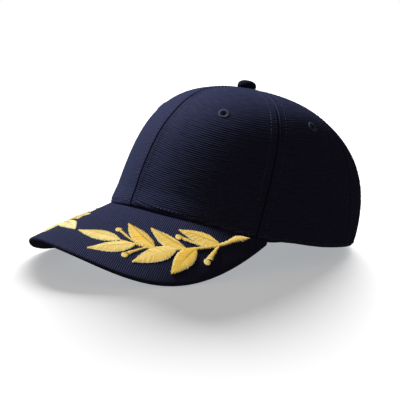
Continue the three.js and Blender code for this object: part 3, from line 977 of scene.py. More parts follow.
    def rim(self) -> np.ndarray:
        """The rim: rolled under round the back, and in front flared over a dark slot above the peak.

        Returns:
            Millimetres off the plain cloth, rows by columns.
        """
        angles = self.start + (self.end - self.start) * self.from_left / self.width[:, None]
        corner = self.shape.peak_corner
        over_peak = 1 - smoothstep(np.abs(angles), corner - self.rim_corner_fade, corner)
        roll = -self.rim_roll * dip(self.from_rim, self.rim_roll_width)
        growth = smoothstep(angles, *self.peak_slot_turn)
        top = self.peak_slot_start + (self.peak_slot_end - self.peak_slot_start) * growth
        past = smoothstep(self.from_rim - top, -self.peak_slot_edge, self.peak_slot_edge)
        slot = -self.peak_slot * (1 - past)
        push = self.flare * (1 - smoothstep(self.from_rim, 0, self.flare_height))
        flared = push * (1 - smoothstep(np.abs(angles), *self.flare_turn))
        return roll + (slot - roll) * over_peak + flared

    def front_ridge(self) -> np.ndarray:
        """The soft ridge along the front seam, where the two stiffened front panels meet at an angle.

        Returns:
            Millimetres off the plain cloth, rows by columns, and 0 where the panel isn't a front one.
        """
        if self.start == 0:
            distance = self.from_left
        elif self.end == 0:
            distance = self.from_right
        else:
            return np.zeros_like(self.from_left)
        rise = self.ridge * np.exp(-distance / self.ridge_width)
        upright = 1 - smoothstep(self.normals[..., 2], *self.ridge_crest)
        return rise * upright * smoothstep(self.from_rim, 0, self.ridge_start)

    def slubs(self) -> np.ndarray:
        """How thick the rib's cord is at each place: it swells and thins along its length by chance.

        Returns:
            Shares of the rib's height, rows by columns.
        """
        count = self.slub_count
        table = np.random.default_rng(SEED + 3).uniform(*self.slub_girth, (count, count))
        row = np.round(self.cloth[..., 1] / self.rib_pitch).astype(int) % count
        place = self.cloth[..., 0] / self.slub_length + self.slub_stagger * table[row, 0] + count
        low = np.floor(place).astype(int)
        part = smoothstep(place - low, 0, 1)
        return table[row, low % count] * (1 - part) + table[row, (low + 1) % count] * part

    def slack(self) -> np.ndarray:
        """Soft hollows and ripples of cloth that is stretched by hand over its backing.

        Returns:
            Millimetres off the plain cloth, rows by columns.
        """
        x, y = self.cloth[..., 0], self.cloth[..., 1]
        (wide, high), (short, low) = self.hollow_runs, self.ripple_runs
        hollows = self.hollow * np.sin(x / wide + self.start) * np.sin(y / high + self.hollow_phase)
        ripples = self.ripple * np.sin(x / short + y / low + self.end)
        edge = np.minimum(self.from_left, self.from_right)
        inside = smoothstep(edge, *self.slack_start) * smoothstep(self.from_rim, *self.slack_start)
        return (hollows + ripples) * inside

    def surface(self) -> Surface:
        """The closed wall: a fine outer face, a coarse inner face and four thin sides.

        Returns:
            The panel's surface.
        """
        rows, columns = self.rows + 1, self.columns + 1
        rise, run = self.rows // self.inner_rows, self.columns // self.inner_columns
        inner = (self.points - self.normals * self.shape.wall)[::rise, ::run]
        inner_rows, inner_columns = inner.shape[:2]
        start = rows * columns
        faces = grid_faces(rows, columns).tolist()
        faces += (grid_faces(inner_rows, inner_columns)[:, ::-1] + start).tolist()
        fine = grid_border(rows, columns)
        coarse = [start + i for i in grid_border(inner_rows, inner_columns)]
        # Each side joins a coarse edge to its stretch of fine ones by two fans and a triangle between them
        steps = [run] * self.inner_columns + [rise] * self.inner_rows
        place = 0
        for i, step in enumerate(steps + steps):
            here, there = coarse[i], coarse[(i + 1) % len(coarse)]
            stretch = [fine[(place + k) % len(fine)] for k in range(step + 1)]
            half = step // 2
            for k in range(step):
                faces.append([stretch[k + 1], stretch[k], here if k < half else there])
            faces.append([here, there, stretch[half]])
            place += step
        points = np.concatenate([self.outer.reshape(-1, 3), inner.reshape(-1, 3)])
        cloth = np.concatenate([self.cloth.reshape(-1, 2), self.cloth[::rise, ::run].reshape(-1, 2)])
        smooth = self.smooth()
        values = {"smooth": np.concatenate([smooth.ravel(), smooth[::rise, ::run].ravel()])}
        return Surface(points, faces, cloth, values)

    def row_along_seam(self, is_left: bool, distance: float) -> tuple[np.ndarray, np.ndarray]:
        """The line on the outer cloth at a distance from one of its seams.

        Args:
            is_left: Whether it follows the seam at the panel's start.
            distance: Its distance from the seam.
        Returns:
            Points up the panel and the normals there, where the panel is wide enough.
        """
        wide = np.nonzero(self.width > 2 * distance + self.stitch_row_room)[0]
        share = distance / self.width[wide]
        even = np.linspace(0, 1, self.columns + 1)
        column = np.interp(share if is_left else 1 - share, self.crowded(even), even) * self.columns
        low = np.floor(column).astype(int)
        part = (column - low)[:, None]
        points = self.outer[wide, low] * (1 - part) + self.outer[wide, low + 1] * part
        return points, unit(self.normals[wide, low] * (1 - part) + self.normals[wide, low + 1] * part)

    def row_above_rim(self, distance: float) -> tuple[np.ndarray, np.ndarray]:
        """The line on the outer cloth at a distance above the rim, with its normals."""
        row = int(round(distance / self.from_rim[-1].mean() * self.rows))
        return self.outer[row], self.normals[row]

    def flat_size(self) -> tuple[float, float, float]:
        """Measures the flat cut.

        Returns:
            Its width, length and area, in metres.
        """
        right, up = np.diff(self.points, axis=1)[:-1], np.diff(self.points, axis=0)[:, :-1]
        area = float(np.linalg.norm(np.cross(right, up), axis=-1).sum())
        return self.width.max() * MM, self.from_rim.max() * MM, area * MM * MM


def stitches(points: np.ndarray, normals: np.ndarray, length: float, gap: float, radius: float,
             rng: np.random.Generator) -> list[Tube]:
    """Running stitches along a line on cloth.

    Args:
        points: The line.
        normals: The directions out of the cloth along it.
        length: Length of one stitch in millimetres.
        gap: Cloth between two stitches.
        radius: The thread's radius.
        rng: The source of their unevenness.
    Returns:
        One tube for each stitch.
    """
    run = distances_along(points)
    made = []
    bow = np.sin(np.linspace(0, math.pi, STITCH_POINTS))
    girth = radius * (1 - STITCH_TAPER + STITCH_TAPER * bow)
    place = gap
    while place + length < run[-1]:
        spots = place + np.linspace(0, length, STITCH_POINTS) * rng.uniform(*STITCH_LENGTHS)
        path = np.stack([np.interp(spots, run, points[:, k]) for k in range(3)], -1)
        out = unit(np.stack([np.interp(spots, run, normals[:, k]) for k in range(3)], -1))
        path = path + out * (radius * (bow - STITCH_SINK))[:, None]
        made.append(tube(path, out, girth, girth * STITCH_FLATNESS))
        place += length + gap
    return made


def make_stitching(name: str, sewn: Sequence[Tube], material: bpy.types.Material,
                   rng: np.random.Generator) -> bpy.types.Object:
    """Makes one piece of many navy stitches, each with a tone of its own.

    Args:
        name: The piece's name.
        sewn: The stitches.
        material: Their thread.
        rng: The source of their tones.
    Returns:
        The object.
    """
    tones = [rng.uniform(0, 1) for _ in sewn]
    return make_piece(name, tubes(sewn, tones), material)


@dataclass
class Crown:
    """The crown: six panels, their topstitching, six worked eyelets, the sweatband and the button."""

    wardrobe: Wardrobe
    stitch_length: float = 2.3
    stitch_gap: float = 0.8
    stitch_radius: float = 0.25
    seam_stitch_distance: float = 5.6
    front_stitch_distance: float = 3.3
    rim_stitch_height: float = 2.1
    eyelet_from_apex: float = 68.5
    eyelet_radius: float = 4.7
    eyelet_hole: float = 1.45
    eyelet_proud: float = 0.75
    eyelet_stitches: int = 26
    # Stitch tones from between the stitches to their crests: painted shade and painted highlight
    eyelet_bead: float = 0.16
    eyelet_crest_highlight_and_gap_shade: Span = (0.25, 0.65)
    cut_radius: float = 3.3
    cut_reach: float = 6.0
    band_lift: float = 1.5
    band_width: float = 31.0
    band_thickness: float = 1.2
    band_clearance: float = 0.9
    band_edge_round: float = 0.25
    band_edge_width: float = 0.8
    band_stitch_height: float = 3.2
    band_stitch_pull: float = 0.18
    band_pull_width: float = 1.0
    band_stitch_length: float = 3.0
    band_stitch_gap: float = 1.2
    band_stitch_radius: float = 0.32
    front_right_ribs: float = 0.4
    button_radius: float = 7.2
    button_height: float = 6.4
    button_foot: float = 6.9
    button_shoulder: float = 1.8
    button_flatness: float = 0.82
    button_pole: float = 0.02
    button_gathers: int = 22
    button_gather: float = 0.09
    button_gather_height: float = 1.6
    shape: CapShape = field(default_factory=lambda: SHAPE)

    def panels(self) -> list[CrownPanel]:
        """Lays out the six panels, from the front seam round both sides.

        Returns:
            The panels, the left one of each pair first.
        """
        spans = {"front": (0.0, self.shape.side_seam), "side": (self.shape.side_seam, self.shape.rear_seam),
                 "back": (self.shape.rear_seam, 180.0)}
        made = []
        for name, (start, end) in spans.items():
            made.append(CrownPanel(f"{name}_left", start, end))
            strength = self.front_right_ribs if name == "front" else 1.0
            made.append(CrownPanel(f"{name}_right", -end, -start, strength))
        return made

    def build(self) -> None:
        """Builds and dresses every piece of the crown."""
        rng = np.random.default_rng(SEED)
        sewn: list[Tube] = []
        for panel in self.panels():
            self.build_panel(panel)
            sewn += self.sew_panel(panel, rng)
            self.build_eyelet(panel)
        make_stitching("crown_topstitching", sewn, self.wardrobe.navy_thread, rng)
        self.build_band(rng)
        self.build_button()

    def build_panel(self, panel: CrownPanel) -> None:
        """Builds one panel and cuts its eyelet's hole.

        Args:
            panel: Its shape.
        """
        name = f"crown_panel_{panel.name}"
        piece = make_piece(name, panel.surface(), self.wardrobe.ribbed)
        self.cut_eyelet_hole(piece, panel)
        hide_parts(f"panel_{panel.name}")
        width, length, area = panel.flat_size()

    def sew_panel(self, panel: CrownPanel, rng: np.random.Generator) -> list[Tube]:
        """Sews one panel's topstitching: a row along each seam and one above the rim.

        Args:
            panel: Its shape.
            rng: The source of the stitches' unevenness.
        Returns:
            The stitches.
        """
        rows = []
        for is_left, seam in ((True, panel.start), (False, panel.end)):
            distance = self.front_stitch_distance if seam == 0 else self.seam_stitch_distance
            rows.append(panel.row_along_seam(is_left, distance))
        rows.append(panel.row_above_rim(self.rim_stitch_height))
        sewn: list[Tube] = []
        for points, normals in rows:
            sewn += stitches(points, normals, self.stitch_length, self.stitch_gap, self.stitch_radius, rng)
        return sewn

    def cut_eyelet_hole(self, piece: bpy.types.Object, panel: CrownPanel) -> None:
        """Cuts the eyelet's hole through a panel.

        Args:
            piece: The panel's object.
            panel: Its shape.
        """
        point, normal = self.shape.crown_spot((panel.start + panel.end) / 2, self.eyelet_from_apex)
        reach = self.cut_reach
        ends = REST.world(np.stack([point + normal * reach, point - normal * reach]))
        bpy.ops.mesh.primitive_cylinder_add(vertices=32, radius=self.cut_radius * MM, depth=2 * reach * MM)
        drill = bpy.context.active_object
        drill.location = Vector(ends.mean(axis=0))
        drill.rotation_mode = "QUATERNION"
        drill.rotation_quaternion = Vector(ends[0] - ends[1]).to_track_quat("Z", "Y")
        bpy.context.view_layer.objects.active = piece
        cut = piece.modifiers.new("eyelet_hole", "BOOLEAN")
        cut.operation = "DIFFERENCE"
        cut.solver = "EXACT"
        cut.object = drill
        bpy.ops.object.modifier_apply(modifier=cut.name)
        bpy.data.objects.remove(drill)

    def build_eyelet(self, panel: CrownPanel) -> None:
        """Works one eyelet: a ring of radial stitches through the panel.

        Args:
            panel: The panel that it is worked in.
        """
        point, normal = self.shape.crown_spot((panel.start + panel.end) / 2, self.eyelet_from_apex)
        right = unit(np.cross(np.array([0.0, 0.0, 1.0]), normal))
        up = np.cross(normal, right)
        points_a_stitch, section = 6, 18
        around = self.eyelet_stitches * points_a_stitch
        turn = np.linspace(0, 2 * math.pi, around, endpoint=False)
        cut = np.linspace(0, 2 * math.pi, section, endpoint=False)
        mean = (self.eyelet_radius + self.eyelet_hole) / 2
        half = (self.eyelet_radius - self.eyelet_hole) / 2
        crest = np.abs(np.cos(turn * self.eyelet_stitches / 2))
        bead = self.eyelet_bead * crest
        radius = mean + (half + bead) * np.cos(cut)[:, None]
        depth = self.shape.wall / 2 + self.eyelet_proud
        rise = -self.shape.wall / 2 + (depth + bead) * np.sin(cut)[:, None]
        points = (
            point
            + right * (radius * np.cos(turn))[..., None]
            + up * (radius * np.sin(turn))[..., None]
            + normal * rise[..., None]
        )
        faces = grid_faces(section, around, True, True)[:, ::-1]
        # Painted light: each stitch's crest is paler, a painted highlight, and the gaps between stitches
        # darker, painted shade
        deep, pale = self.eyelet_crest_highlight_and_gap_shade
        tone = np.broadcast_to(deep + (pale - deep) * crest, (section, around))
        surface = Surface(points.reshape(-1, 3), faces, None, {"tone": tone.ravel()})
        name = f"worked_eyelet_{panel.name}"
        piece = make_piece(name, surface, self.wardrobe.navy_thread)
        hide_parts(f"eyelet_{panel.name}")

    def build_band(self, rng: np.random.Generator) -> None:
        """Builds the sweatband inside the rim, with its stitched lower edge.

        Args:
            rng: The source of the stitches' unevenness.
        """
        around, rows = 240, 14
        angles = np.linspace(-180, 180, around, endpoint=False)
        heights = self.band_lift + self.band_width * np.linspace(0, 1, rows)
        shares = self.shape.crown_shares(angles, np.tile(heights, (around, 1))).T
        grid = np.tile(angles, (rows, 1))
        points = self.shape.crown_points(grid, shares)
        right, left = (self.shape.crown_points(grid + step, shares) for step in (ANGLE_STEP, -ANGLE_STEP))
        upper, lower = (self.shape.crown_points(grid, shares + step) for step in (SHARE_STEP, -SHARE_STEP))
        normals = unit(np.cross(right - left, upper - lower))
        outside = self.shape.wall + self.band_clearance
        low, high = (dip(heights - edge, self.band_edge_width) for edge in heights[[0, -1]])
        rounding = self.band_edge_round * (low + high)[:, None, None]
        stitched = dip(heights - self.band_lift - self.band_stitch_height, self.band_pull_width)
        pulled = self.band_stitch_pull * stitched[:, None, None]
        outer = points - normals * (outside + rounding)
        inner = points - normals * (outside + self.band_thickness - rounding - pulled)
        wall = np.concatenate([outer, inner[::-1]])
        faces = grid_faces(2 * rows, around, True, True)
        run = distances_along(points[0])
        cloth = np.stack([np.tile(run, (rows, 1)), np.tile(heights[:, None], (1, around))], -1)
        cloth = np.concatenate([cloth, cloth[::-1]])
        surface = Surface(wall.reshape(-1, 3), faces, cloth.reshape(-1, 2))
        band = make_piece("sweatband_strip", surface, self.wardrobe.twill)
        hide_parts("sweatband")
        row = int(round(self.band_stitch_height / self.band_width * (rows - 1)))
        line = np.concatenate([inner[row], inner[row][:1]])
        out = -np.concatenate([normals[row], normals[row][:1]])
        sewn = stitches(line, out, self.band_stitch_length, self.band_stitch_gap,
                        self.band_stitch_radius, rng)
        piece = make_stitching("sweatband_stitching", sewn, self.wardrobe.navy_thread, rng)

    def build_button(self) -> None:
        """Builds the cloth-covered button: a low dome whose cloth is gathered under its edge."""
        steps, around = 30, 96
        turn = np.linspace(0, 2 * math.pi, around, endpoint=False)
        foot, shoulder = self.button_foot, self.button_shoulder
        # The dome stops just short of its pole, where a small face closes it
        dome = np.linspace(0, math.pi / 2 - self.button_pole, steps)
        flat = self.button_flatness
        # The underside, from near the middle out to the foot, comes before the dome
        under_radius, under_height = [0.2, foot * 0.6, foot], [0.0, 0.0, 0.1]
        radius = np.concatenate([under_radius, self.button_radius * np.cos(dome) ** flat])
        top = shoulder + (self.button_height - shoulder) * np.sin(dome) ** flat
        height = np.concatenate([under_height, top])
        low = dip(height - shoulder / 2, self.button_gather_height)
        gather = self.button_gather * np.cos(turn * self.button_gathers)[None, :] * low[:, None]
        tilt = math.tan(math.radians(self.shape.top_slope))
        up = unit(np.array([0.0, tilt, 1.0]))
        right = np.array([1.0, 0.0, 0.0])
        back = np.cross(up, right)
        spread = (radius[:, None] + gather)[..., None]
        points = (
            self.shape.apex + up * self.shape.seam_gap
            + spread * (right * np.cos(turn)[None, :, None] + back * np.sin(turn)[None, :, None])
            + up * height[:, None, None]
        )
        cloth = np.stack([radius[:, None] * np.cos(turn), radius[:, None] * np.sin(turn)], -1)
        count = len(radius)
        faces = grid_faces(count, around, False, True).tolist()
        faces.append(list(range(around))[::-1])
        faces.append([(count - 1) * around + i for i in range(around)])
        surface = Surface(points.reshape(-1, 3), faces, cloth.reshape(-1, 2))
        piece = make_piece("covered_button", surface, self.wardrobe.button_cloth)
        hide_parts("top_button")


@dataclass
class Peak:
    """The peak: a top cover that turns round the board's edge to a hem, and an under cover inside it.

    Its cloth is cut on a slant, so the ribs run forward and to the wearer's left.
    """

    wardrobe: Wardrobe
    cover: float = 1.9
    hem: float = 7.0
    hem_gap: float = 0.5
    edge_round: float = 1.2
    end_round: float = 0.975
    plumb_share: float = 0.25
    hem_limit: float = 0.45
    sections: int = 260
    rows: int = 44
    under_rows: int = 24
    hem_rows: int = 6
    inner_rows: int = 4
    upper_rows: int = 6
    edge_steps: int = 8
    hem_fold: float = 0.9
    hem_ridge: float = 0.12
    hem_ridge_width: float = 0.8
    cover_gap: float = 0.3
    under_share: float = 14 / 15
    hem_stitch_inset: float = 5.2
    hem_stitch_length: float = 2.6
    hem_stitch_gap: float = 0.9
    hem_stitch_radius: float = 0.3
    rib_pitch: float = 1.45
    rib_slant: float = 31.0
    shape: CapShape = field(default_factory=lambda: SHAPE)

    def cut(self, share: np.ndarray, out: float, inset: float, depth: float, gap: float = 0.0,
            run: float = 0.0, lift: np.ndarray | float = 0.0) -> tuple[np.ndarray, np.ndarray]:
        """One line of the peak from corner to corner.

        Args:
            share: Shares round the peak.
            out: Share of the way out from the rim.
            inset: How far short of the edge the way ends.
            depth: Depth below the top, for the full thickness.
            gap: Further depth that stays the same where the peak thins.
            run: Further distance short of the edge.
            lift: How far the line stands off its depth.
        Returns:
            The line's points and its pattern places.
        """
        root = self.shape.pattern_place(share, np.zeros_like(share))
        edge = self.shape.pattern_place(share, np.ones_like(share))
        length = np.linalg.norm(edge - root, axis=-1)
        scale = self.shape.peak_thickness_at(share) / self.shape.peak_thickness
        way = out * (1 - (np.minimum(inset, self.hem_limit * length) + run) / length)
        plumb = 1 - smoothstep(way, 0, self.plumb_share)
        place = self.shape.pattern_place(share, way)
        return self.shape.on_peak(place, depth * scale + gap - lift, plumb), place

    def layer(self, end: float, stops: Sequence[dict[str, float]]) -> Surface:
        """A closed layer through stops that go once round its section.

        Args:
            end: Share round the peak where it ends on each side.
            stops: The arguments of each line, in order round the section.
        Returns:
            The layer's surface.
        """
        share = np.linspace(-end, end, self.sections)
        lines = [self.cut(share, **stop) for stop in stops]
        points = np.stack([line for line, _ in lines])
        places = np.stack([place for _, place in lines])
        count = len(stops)
        faces = grid_faces(count, self.sections, True, False)[:, ::-1].tolist()
        faces.append([i * self.sections for i in range(count)])
        faces.append([i * self.sections + self.sections - 1 for i in range(count)][::-1])
        slant = math.radians(self.rib_slant)
        across, ahead = places[..., 0].ravel(), places[..., 1].ravel()
        along_rib = across * math.sin(slant) + ahead * math.cos(slant)
        across_rib = across * math.cos(slant) - ahead * math.sin(slant)
        return Surface(points.reshape(-1, 3), faces, np.stack([along_rib, across_rib], -1))

    def build(self) -> None:
        """Builds and dresses the peak's covers and the hem's stitching."""
        surface = self.layer(self.end_round, self.top_stops())
        top = make_piece("peak_cloth_top", surface, self.wardrobe.peak_cloth)
        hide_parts("peak_top_cover")
        width, length, area = self.flat_size(self.end_round, self.hem)
        end = self.end_round * self.under_share
        surface = self.layer(end, self.under_stops())
        below = make_piece("peak_cloth_under", surface, self.wardrobe.twill)
        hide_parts("peak_under_cover")
        width, length, area = self.flat_size(end, -self.hem - self.hem_gap)
        self.sew_hem(end)

    def top_stops(self) -> list[dict[str, float]]:
        """The top cover's lines: out over the top, round the edge, back along the hem and inside.

        Returns:
            The arguments of each line for cut.
        """
        thick, inset = self.shape.peak_thickness, self.edge_round
        stops = [{"out": i / self.rows, "inset": inset, "depth": 0.0} for i in range(self.rows + 1)]
        for k in range(1, self.edge_steps):
            turn = math.pi * k / self.edge_steps
            depth = thick / 2 * (1 - math.cos(turn))
            stops.append({"out": 1.0, "inset": inset * (1 - math.sin(turn)), "depth": depth})
        hem_width = self.hem - inset
        stitched = self.hem_rows * (self.hem_stitch_inset - inset) / hem_width
        for k in range(self.hem_rows + 1):
            ridge = self.hem_ridge * float(dip(np.array(k - round(stitched)), self.hem_ridge_width))
            stops.append({"out": 1.0, "inset": inset + hem_width * k / self.hem_rows, "depth": thick,
                          "lift": ridge})
        stops.append({"out": 1.0, "inset": self.hem, "depth": thick - self.hem_fold})
        for i in range(self.inner_rows, -1, -1):
            stops.append({"out": i / self.inner_rows, "inset": self.hem, "depth": self.cover})
        return stops

    def under_stops(self) -> list[dict[str, float]]:
        """The under cover's lines: out along its hidden upper face, and back along its lower one.

        Returns:
            The arguments of each line for cut.
        """
        short = {"inset": self.hem, "run": self.hem_gap}
        upper = [{"out": i / self.upper_rows, "depth": self.cover, "gap": self.cover_gap, **short}
                 for i in range(self.upper_rows + 1)]
        lower = [{"out": i / self.under_rows, "depth": self.shape.peak_thickness, **short}
                 for i in range(self.under_rows, -1, -1)]
        return upper + lower

    def flat_size(self, end: float, beyond: float) -> tuple[float, float, float]:
        """The flat cut of a cover, from the crown's rim to a distance beyond the peak's edge.

        Args:
            end: Share round the peak where it ends on each side.
            beyond: Cloth past the edge, less than 0 where it stops short of it.
        Returns:
            Its width, length and area, in metres.
        """
        share = np.linspace(-end, end, self.sections)
        root = self.shape.pattern_place(share, np.zeros_like(share))
        edge = self.shape.pattern_place(share, np.ones_like(share))
        way = edge - root
        reach = np.linalg.norm(way, axis=-1, keepdims=True)
        outer = root + way * (1 + np.maximum(beyond, -self.hem_limit * reach) / reach)
        outline = np.concatenate([root, outer[::-1]])
        x, y = outline[:, 0], outline[:, 1]
        area = abs(float(np.sum(x * np.roll(y, -1) - np.roll(x, -1) * y))) / 2
        width, length = outline.max(axis=0) - outline.min(axis=0)
        return float(width) * MM, float(length) * MM, area * MM * MM

    def sew_hem(self, end: float) -> None:
        """Sews the hem's row of stitches on the underside.

        Args:
            end: Share round the peak where the row ends on each side.
        """
        rng = np.random.default_rng(SEED + 1)
        places = 700
        share = np.linspace(-end, end, places)
        line, _ = self.cut(share, 1.0, self.hem_stitch_inset, self.shape.peak_thickness)
        above, _ = self.cut(share, 1.0, self.hem_stitch_inset, 0.0)
        sewn = stitches(line, unit(line - above), self.hem_stitch_length, self.hem_stitch_gap,
                        self.hem_stitch_radius, rng)
        make_stitching("peak_hem_stitching", sewn, self.wardrobe.navy_thread, rng)


@dataclass(frozen=True)
class Leaf:
    """A laurel leaf: base and tip as shares round and out on the peak, bulges as shares of its length."""

    base: tuple[float, float]
    tip: tuple[float, float]
    left: float
    right: float
    tone: float = 0.0
    vein: float = 0.0


@dataclass(frozen=True)
class Stalk:
    """A stem or stalk: its places and its widths there, as shares of the stem's cut end."""

    places: tuple[tuple[float, float], ...]
    widths: tuple[float, ...]


@dataclass
class Branch:
    """The threads sewn so far on one side of the peak, and the source of their unevenness.

    The side is 1 on the wearer's left, and -1 on the right, where each place is mirrored.
    """

    side: float
    rng: np.random.Generator
    threads: list[Tube] = field(default_factory=list)
    tones: list[np.ndarray | float] = field(default_factory=list)

    def add(self, thread: Tube, tone: np.ndarray | float) -> None:
        """Adds one thread's tube, with a tone for all of its points or for each."""
        self.threads.append(thread)
        self.tones.append(tone)


@dataclass
class Laurel:
    """A raised satin-stitch laurel branch on each side of the peak.

    Heights and widths are in millimetres. The real thread is about 0.4 mm wide, which is too fine to show,
    so it is drawn about twice as coarse.
    """

    wardrobe: Wardrobe
    stem_width: float = 5.0
    berry_radius: float = 2.4
    thread_pitch: float = 0.56
    thread_width: float = 0.78
    padding: float = 0.9
    edge_height: float = 0.4
    raggedness: float = 0.3
    vein_overlap: float = 0.5
    pad_width: float = 0.88
    pad_height: float = 0.95
    pad_sides: int = 16
    # The far branch's thread is painted paler: a painted sheen of satin seen at a low angle
    far_branch_sheen: float = 0.5
    leaf_fullness: float = 0.8
    leaf_ends: Span = (0.03, 0.99)
    leaf_profile: tuple[float, ...] = (1.0, 0.98, 0.86, 0.55)
    leaf_middle: float = 0.55
    vein_slant: float = 0.16
    vein_tone: float = 0.1
    pad_ends: Span = (0.02, 0.97)
    pad_growth: float = 3.2
    pad_least: float = 0.25
    pad_margin: float = 0.1
    dive_height: float = 0.15
    shoulder: float = 0.8
    stalk_slant: float = 0.6
    stalk_highest: float = 1.1
    stalk_height: float = 0.35
    stalk_growth: float = 0.28
    berry_crowding: float = 1.2
    berry_height: float = 0.3
    berry_growth: float = 0.55
    berry_tone: float = 0.05
    strand_start: float = 0.25
    leaf_strand_start: float = 1.2
    strand_flatness: float = 0.75
    row_tones: float = 0.06
    leaf_tones: float = 0.12
    thread_tones: float = 0.15
    strand_sides: int = 4
    middle_tone: float = 0.2
    # The thread's tone where it turns down over its padding: a painted highlight
    turn_highlight_tone: float = 0.95
    shape: CapShape = field(default_factory=lambda: SHAPE)
    leaves: tuple[Leaf, ...] = (
        Leaf((0.2, 0.601), (0.007, 0.688), 0.14, 0.171, 0.2),
        Leaf((0.276, 0.59), (0.12, 0.873), 0.139, 0.193, 0.22),
        Leaf((0.368, 0.553), (0.158, 0.33), 0.091, 0.252),
        Leaf((0.472, 0.499), (0.307, 0.825), 0.189, 0.173, 0.0, 0.7),
        Leaf((0.52, 0.473), (0.287, 0.293), 0.047, 0.286),
        Leaf((0.57, 0.439), (0.492, 0.861), 0.225, 0.193, -0.12, 0.15),
        Leaf((0.694, 0.34), (0.437, 0.209), 0.134, 0.216),
    )
    stalks: tuple[Stalk, ...] = (
        Stalk(((0.17, 0.617), (0.25, 0.593), (0.344, 0.576), (0.444, 0.521), (0.539, 0.47), (0.616, 0.416),
               (0.69, 0.36), (0.744, 0.27), (0.796, 0.145), (0.83, 0.11), (0.862, 0.085)),
              (0.24, 0.28, 0.32, 0.36, 0.4, 0.44, 0.5, 0.62, 1.05, 0.6, 0.05)),
        Stalk(((0.299, 0.589), (0.226, 0.532), (0.16, 0.473)), (0.24, 0.28, 0.44)),
        Stalk(((0.33, 0.58), (0.288, 0.68), (0.268, 0.741)), (0.28, 0.4, 0.68)),
        Stalk(((0.608, 0.401), (0.54, 0.355), (0.475, 0.322)), (0.28, 0.36, 0.6)),
        Stalk(((0.69, 0.38), (0.67, 0.52), (0.657, 0.64)), (0.32, 0.6, 0.92)),
    )
    berries: tuple[tuple[float, float], ...] = ((0.15, 0.466), (0.264, 0.765), (0.458, 0.317), (0.65, 0.667))

    def build(self) -> list[bpy.types.Object]:
        """Embroiders both branches, the right one as the left one's mirror image.

        Returns:
            The two branches.
        """
        branches = []
        for side, name in ((1.0, "left"), (-1.0, "right")):
            branch = Branch(side, np.random.default_rng(SEED + 2))
            for leaf in self.leaves:
                self.sew_leaf(leaf, branch)
            for stalk in self.stalks:
                self.sew_stalk(stalk, branch)
            for berry in self.berries:
                self.sew_berry(berry, branch)
            surface = tubes(branch.threads, branch.tones)
            piece = make_piece(f"gold_laurel_{name}", surface, self.wardrobe.gold_thread)
            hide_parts(f"laurel_branch_{name}")
            branches.append(piece)
        return branches

    def place(self, spot: Sequence[float]) -> np.ndarray:
        """Pattern millimetres of a place on the peak."""
        return self.shape.pattern_place(np.array(spot[0]), np.array(spot[1]))

    def sew(self, branch: Branch, start: np.ndarray, end: np.ndarray, heights: Sequence[float],
            shades: Sequence[float], shift: float, fullness: float) -> None:
        """Sews one thread over the padding between two pattern places.

        Args:
            branch: The branch that it is added to.
            start: Where it comes up.
            end: Where it goes down.
            heights: Its heights over the cloth at even steps.
            shades: Its tones at the same steps.
            shift: How much lighter the whole thread is.
            fullness: How full its start is, from 0, thin, to half pi, full.
        """
        share = np.linspace(0, 1, len(heights))[:, None]
        flat = (start + (end - start) * share) * np.array([branch.side, 1.0])
        low = self.shape.on_peak(flat)
        path = self.shape.above_peak(flat, np.array(heights))
        normals = unit(path - low + 1e-9)
        round_off = np.sin(np.linspace(fullness, math.pi - self.strand_start, len(heights)))
        half = self.thread_width / 2 * (0.5 + 0.5 * round_off)
        tone = np.clip(np.array(shades) + shift, 0, 1)
        points = tube(path, normals, half, half * self.strand_flatness, self.strand_sides)
        branch.add(points, np.concatenate([np.repeat(tone, self.strand_sides), tone[:1], tone[-1:]]))

    def sew_across(self, branch: Branch, start: np.ndarray, end: np.ndarray, top: float,
                   shift: float) -> None:
        """Sews one thread that crosses a round pad from side to side.

        Args:
            branch: The branch that it is added to.
            start: Where it comes up.
            end: Where it goes down.
            top: Its greatest height over the cloth.
            shift: How much lighter the whole thread is.
        """
        rise = self.shoulder * top
        # Paler at both ends, where the thread turns down: a painted highlight
        shades = (self.turn_highlight_tone, self.middle_tone, self.middle_tone, self.middle_tone, self.turn_highlight_tone)
        heights = (self.dive_height, rise, top, rise, self.dive_height)
        self.sew(branch, start, end, heights, shades, shift, self.strand_start)

    def padded(self, half_width: np.ndarray | float) -> np.ndarray | float:
        """Height of a leaf's padding where its half width is a share of its length."""
        return self.padding * np.minimum(1.0, self.pad_growth * half_width + self.pad_least)

    def sew_leaf(self, leaf: Leaf, branch: Branch) -> None:
        """Covers a leaf with two rows of slanted stitches that meet along its mid vein.

        Args:
            leaf: Its outline.
            branch: The branch that it is part of.
        """
        root, tip = self.place(leaf.base), self.place(leaf.tip)
        spine = tip - root
        across = np.array([-spine[1], spine[0]])
        length = float(np.linalg.norm(spine))
        count = int(length / self.thread_pitch)
        middle = (leaf.left - leaf.right) / 2 * self.leaf_middle
        first, last = self.leaf_ends
        # Paler at the outer end, where the thread turns down over the edge: a painted highlight
        shades = (self.middle_tone + self.vein_tone + leaf.vein, *[self.middle_tone] * 3, self.turn_highlight_tone)
        self.pad_leaf(leaf, branch)
        for bulge in (leaf.left, -leaf.right):
            row_tone = branch.rng.uniform(-self.row_tones, self.row_tones)
            # The right branch is painted paler all over, a painted sheen
            tone = leaf.tone + row_tone + (self.far_branch_sheen if branch.side < 0 else 0.0)
            for i in range(count):
                share = first + (last - first) * (i + 0.5) / count
                vein_share = share - self.vein_slant * math.sin(math.pi * share)
                swell = math.sin(math.pi * share ** self.leaf_fullness)
                vein_swell = math.sin(math.pi * vein_share ** self.leaf_fullness)
                ragged = math.copysign(branch.rng.normal(0, self.raggedness) / length, bulge)
                lap = math.copysign(self.vein_overlap, bulge) / length
                vein = root + spine * vein_share + across * (middle * vein_swell - lap)
                edge = root + spine * share + across * (bulge * swell + ragged)
                rise = float(self.padded(abs(bulge) * swell))
                heights = [self.edge_height + part * rise for part in self.leaf_profile] + [self.dive_height]
                shift = branch.rng.normal(tone, self.leaf_tones)
                self.sew(branch, vein, edge, heights, shades, shift, self.leaf_strand_start)

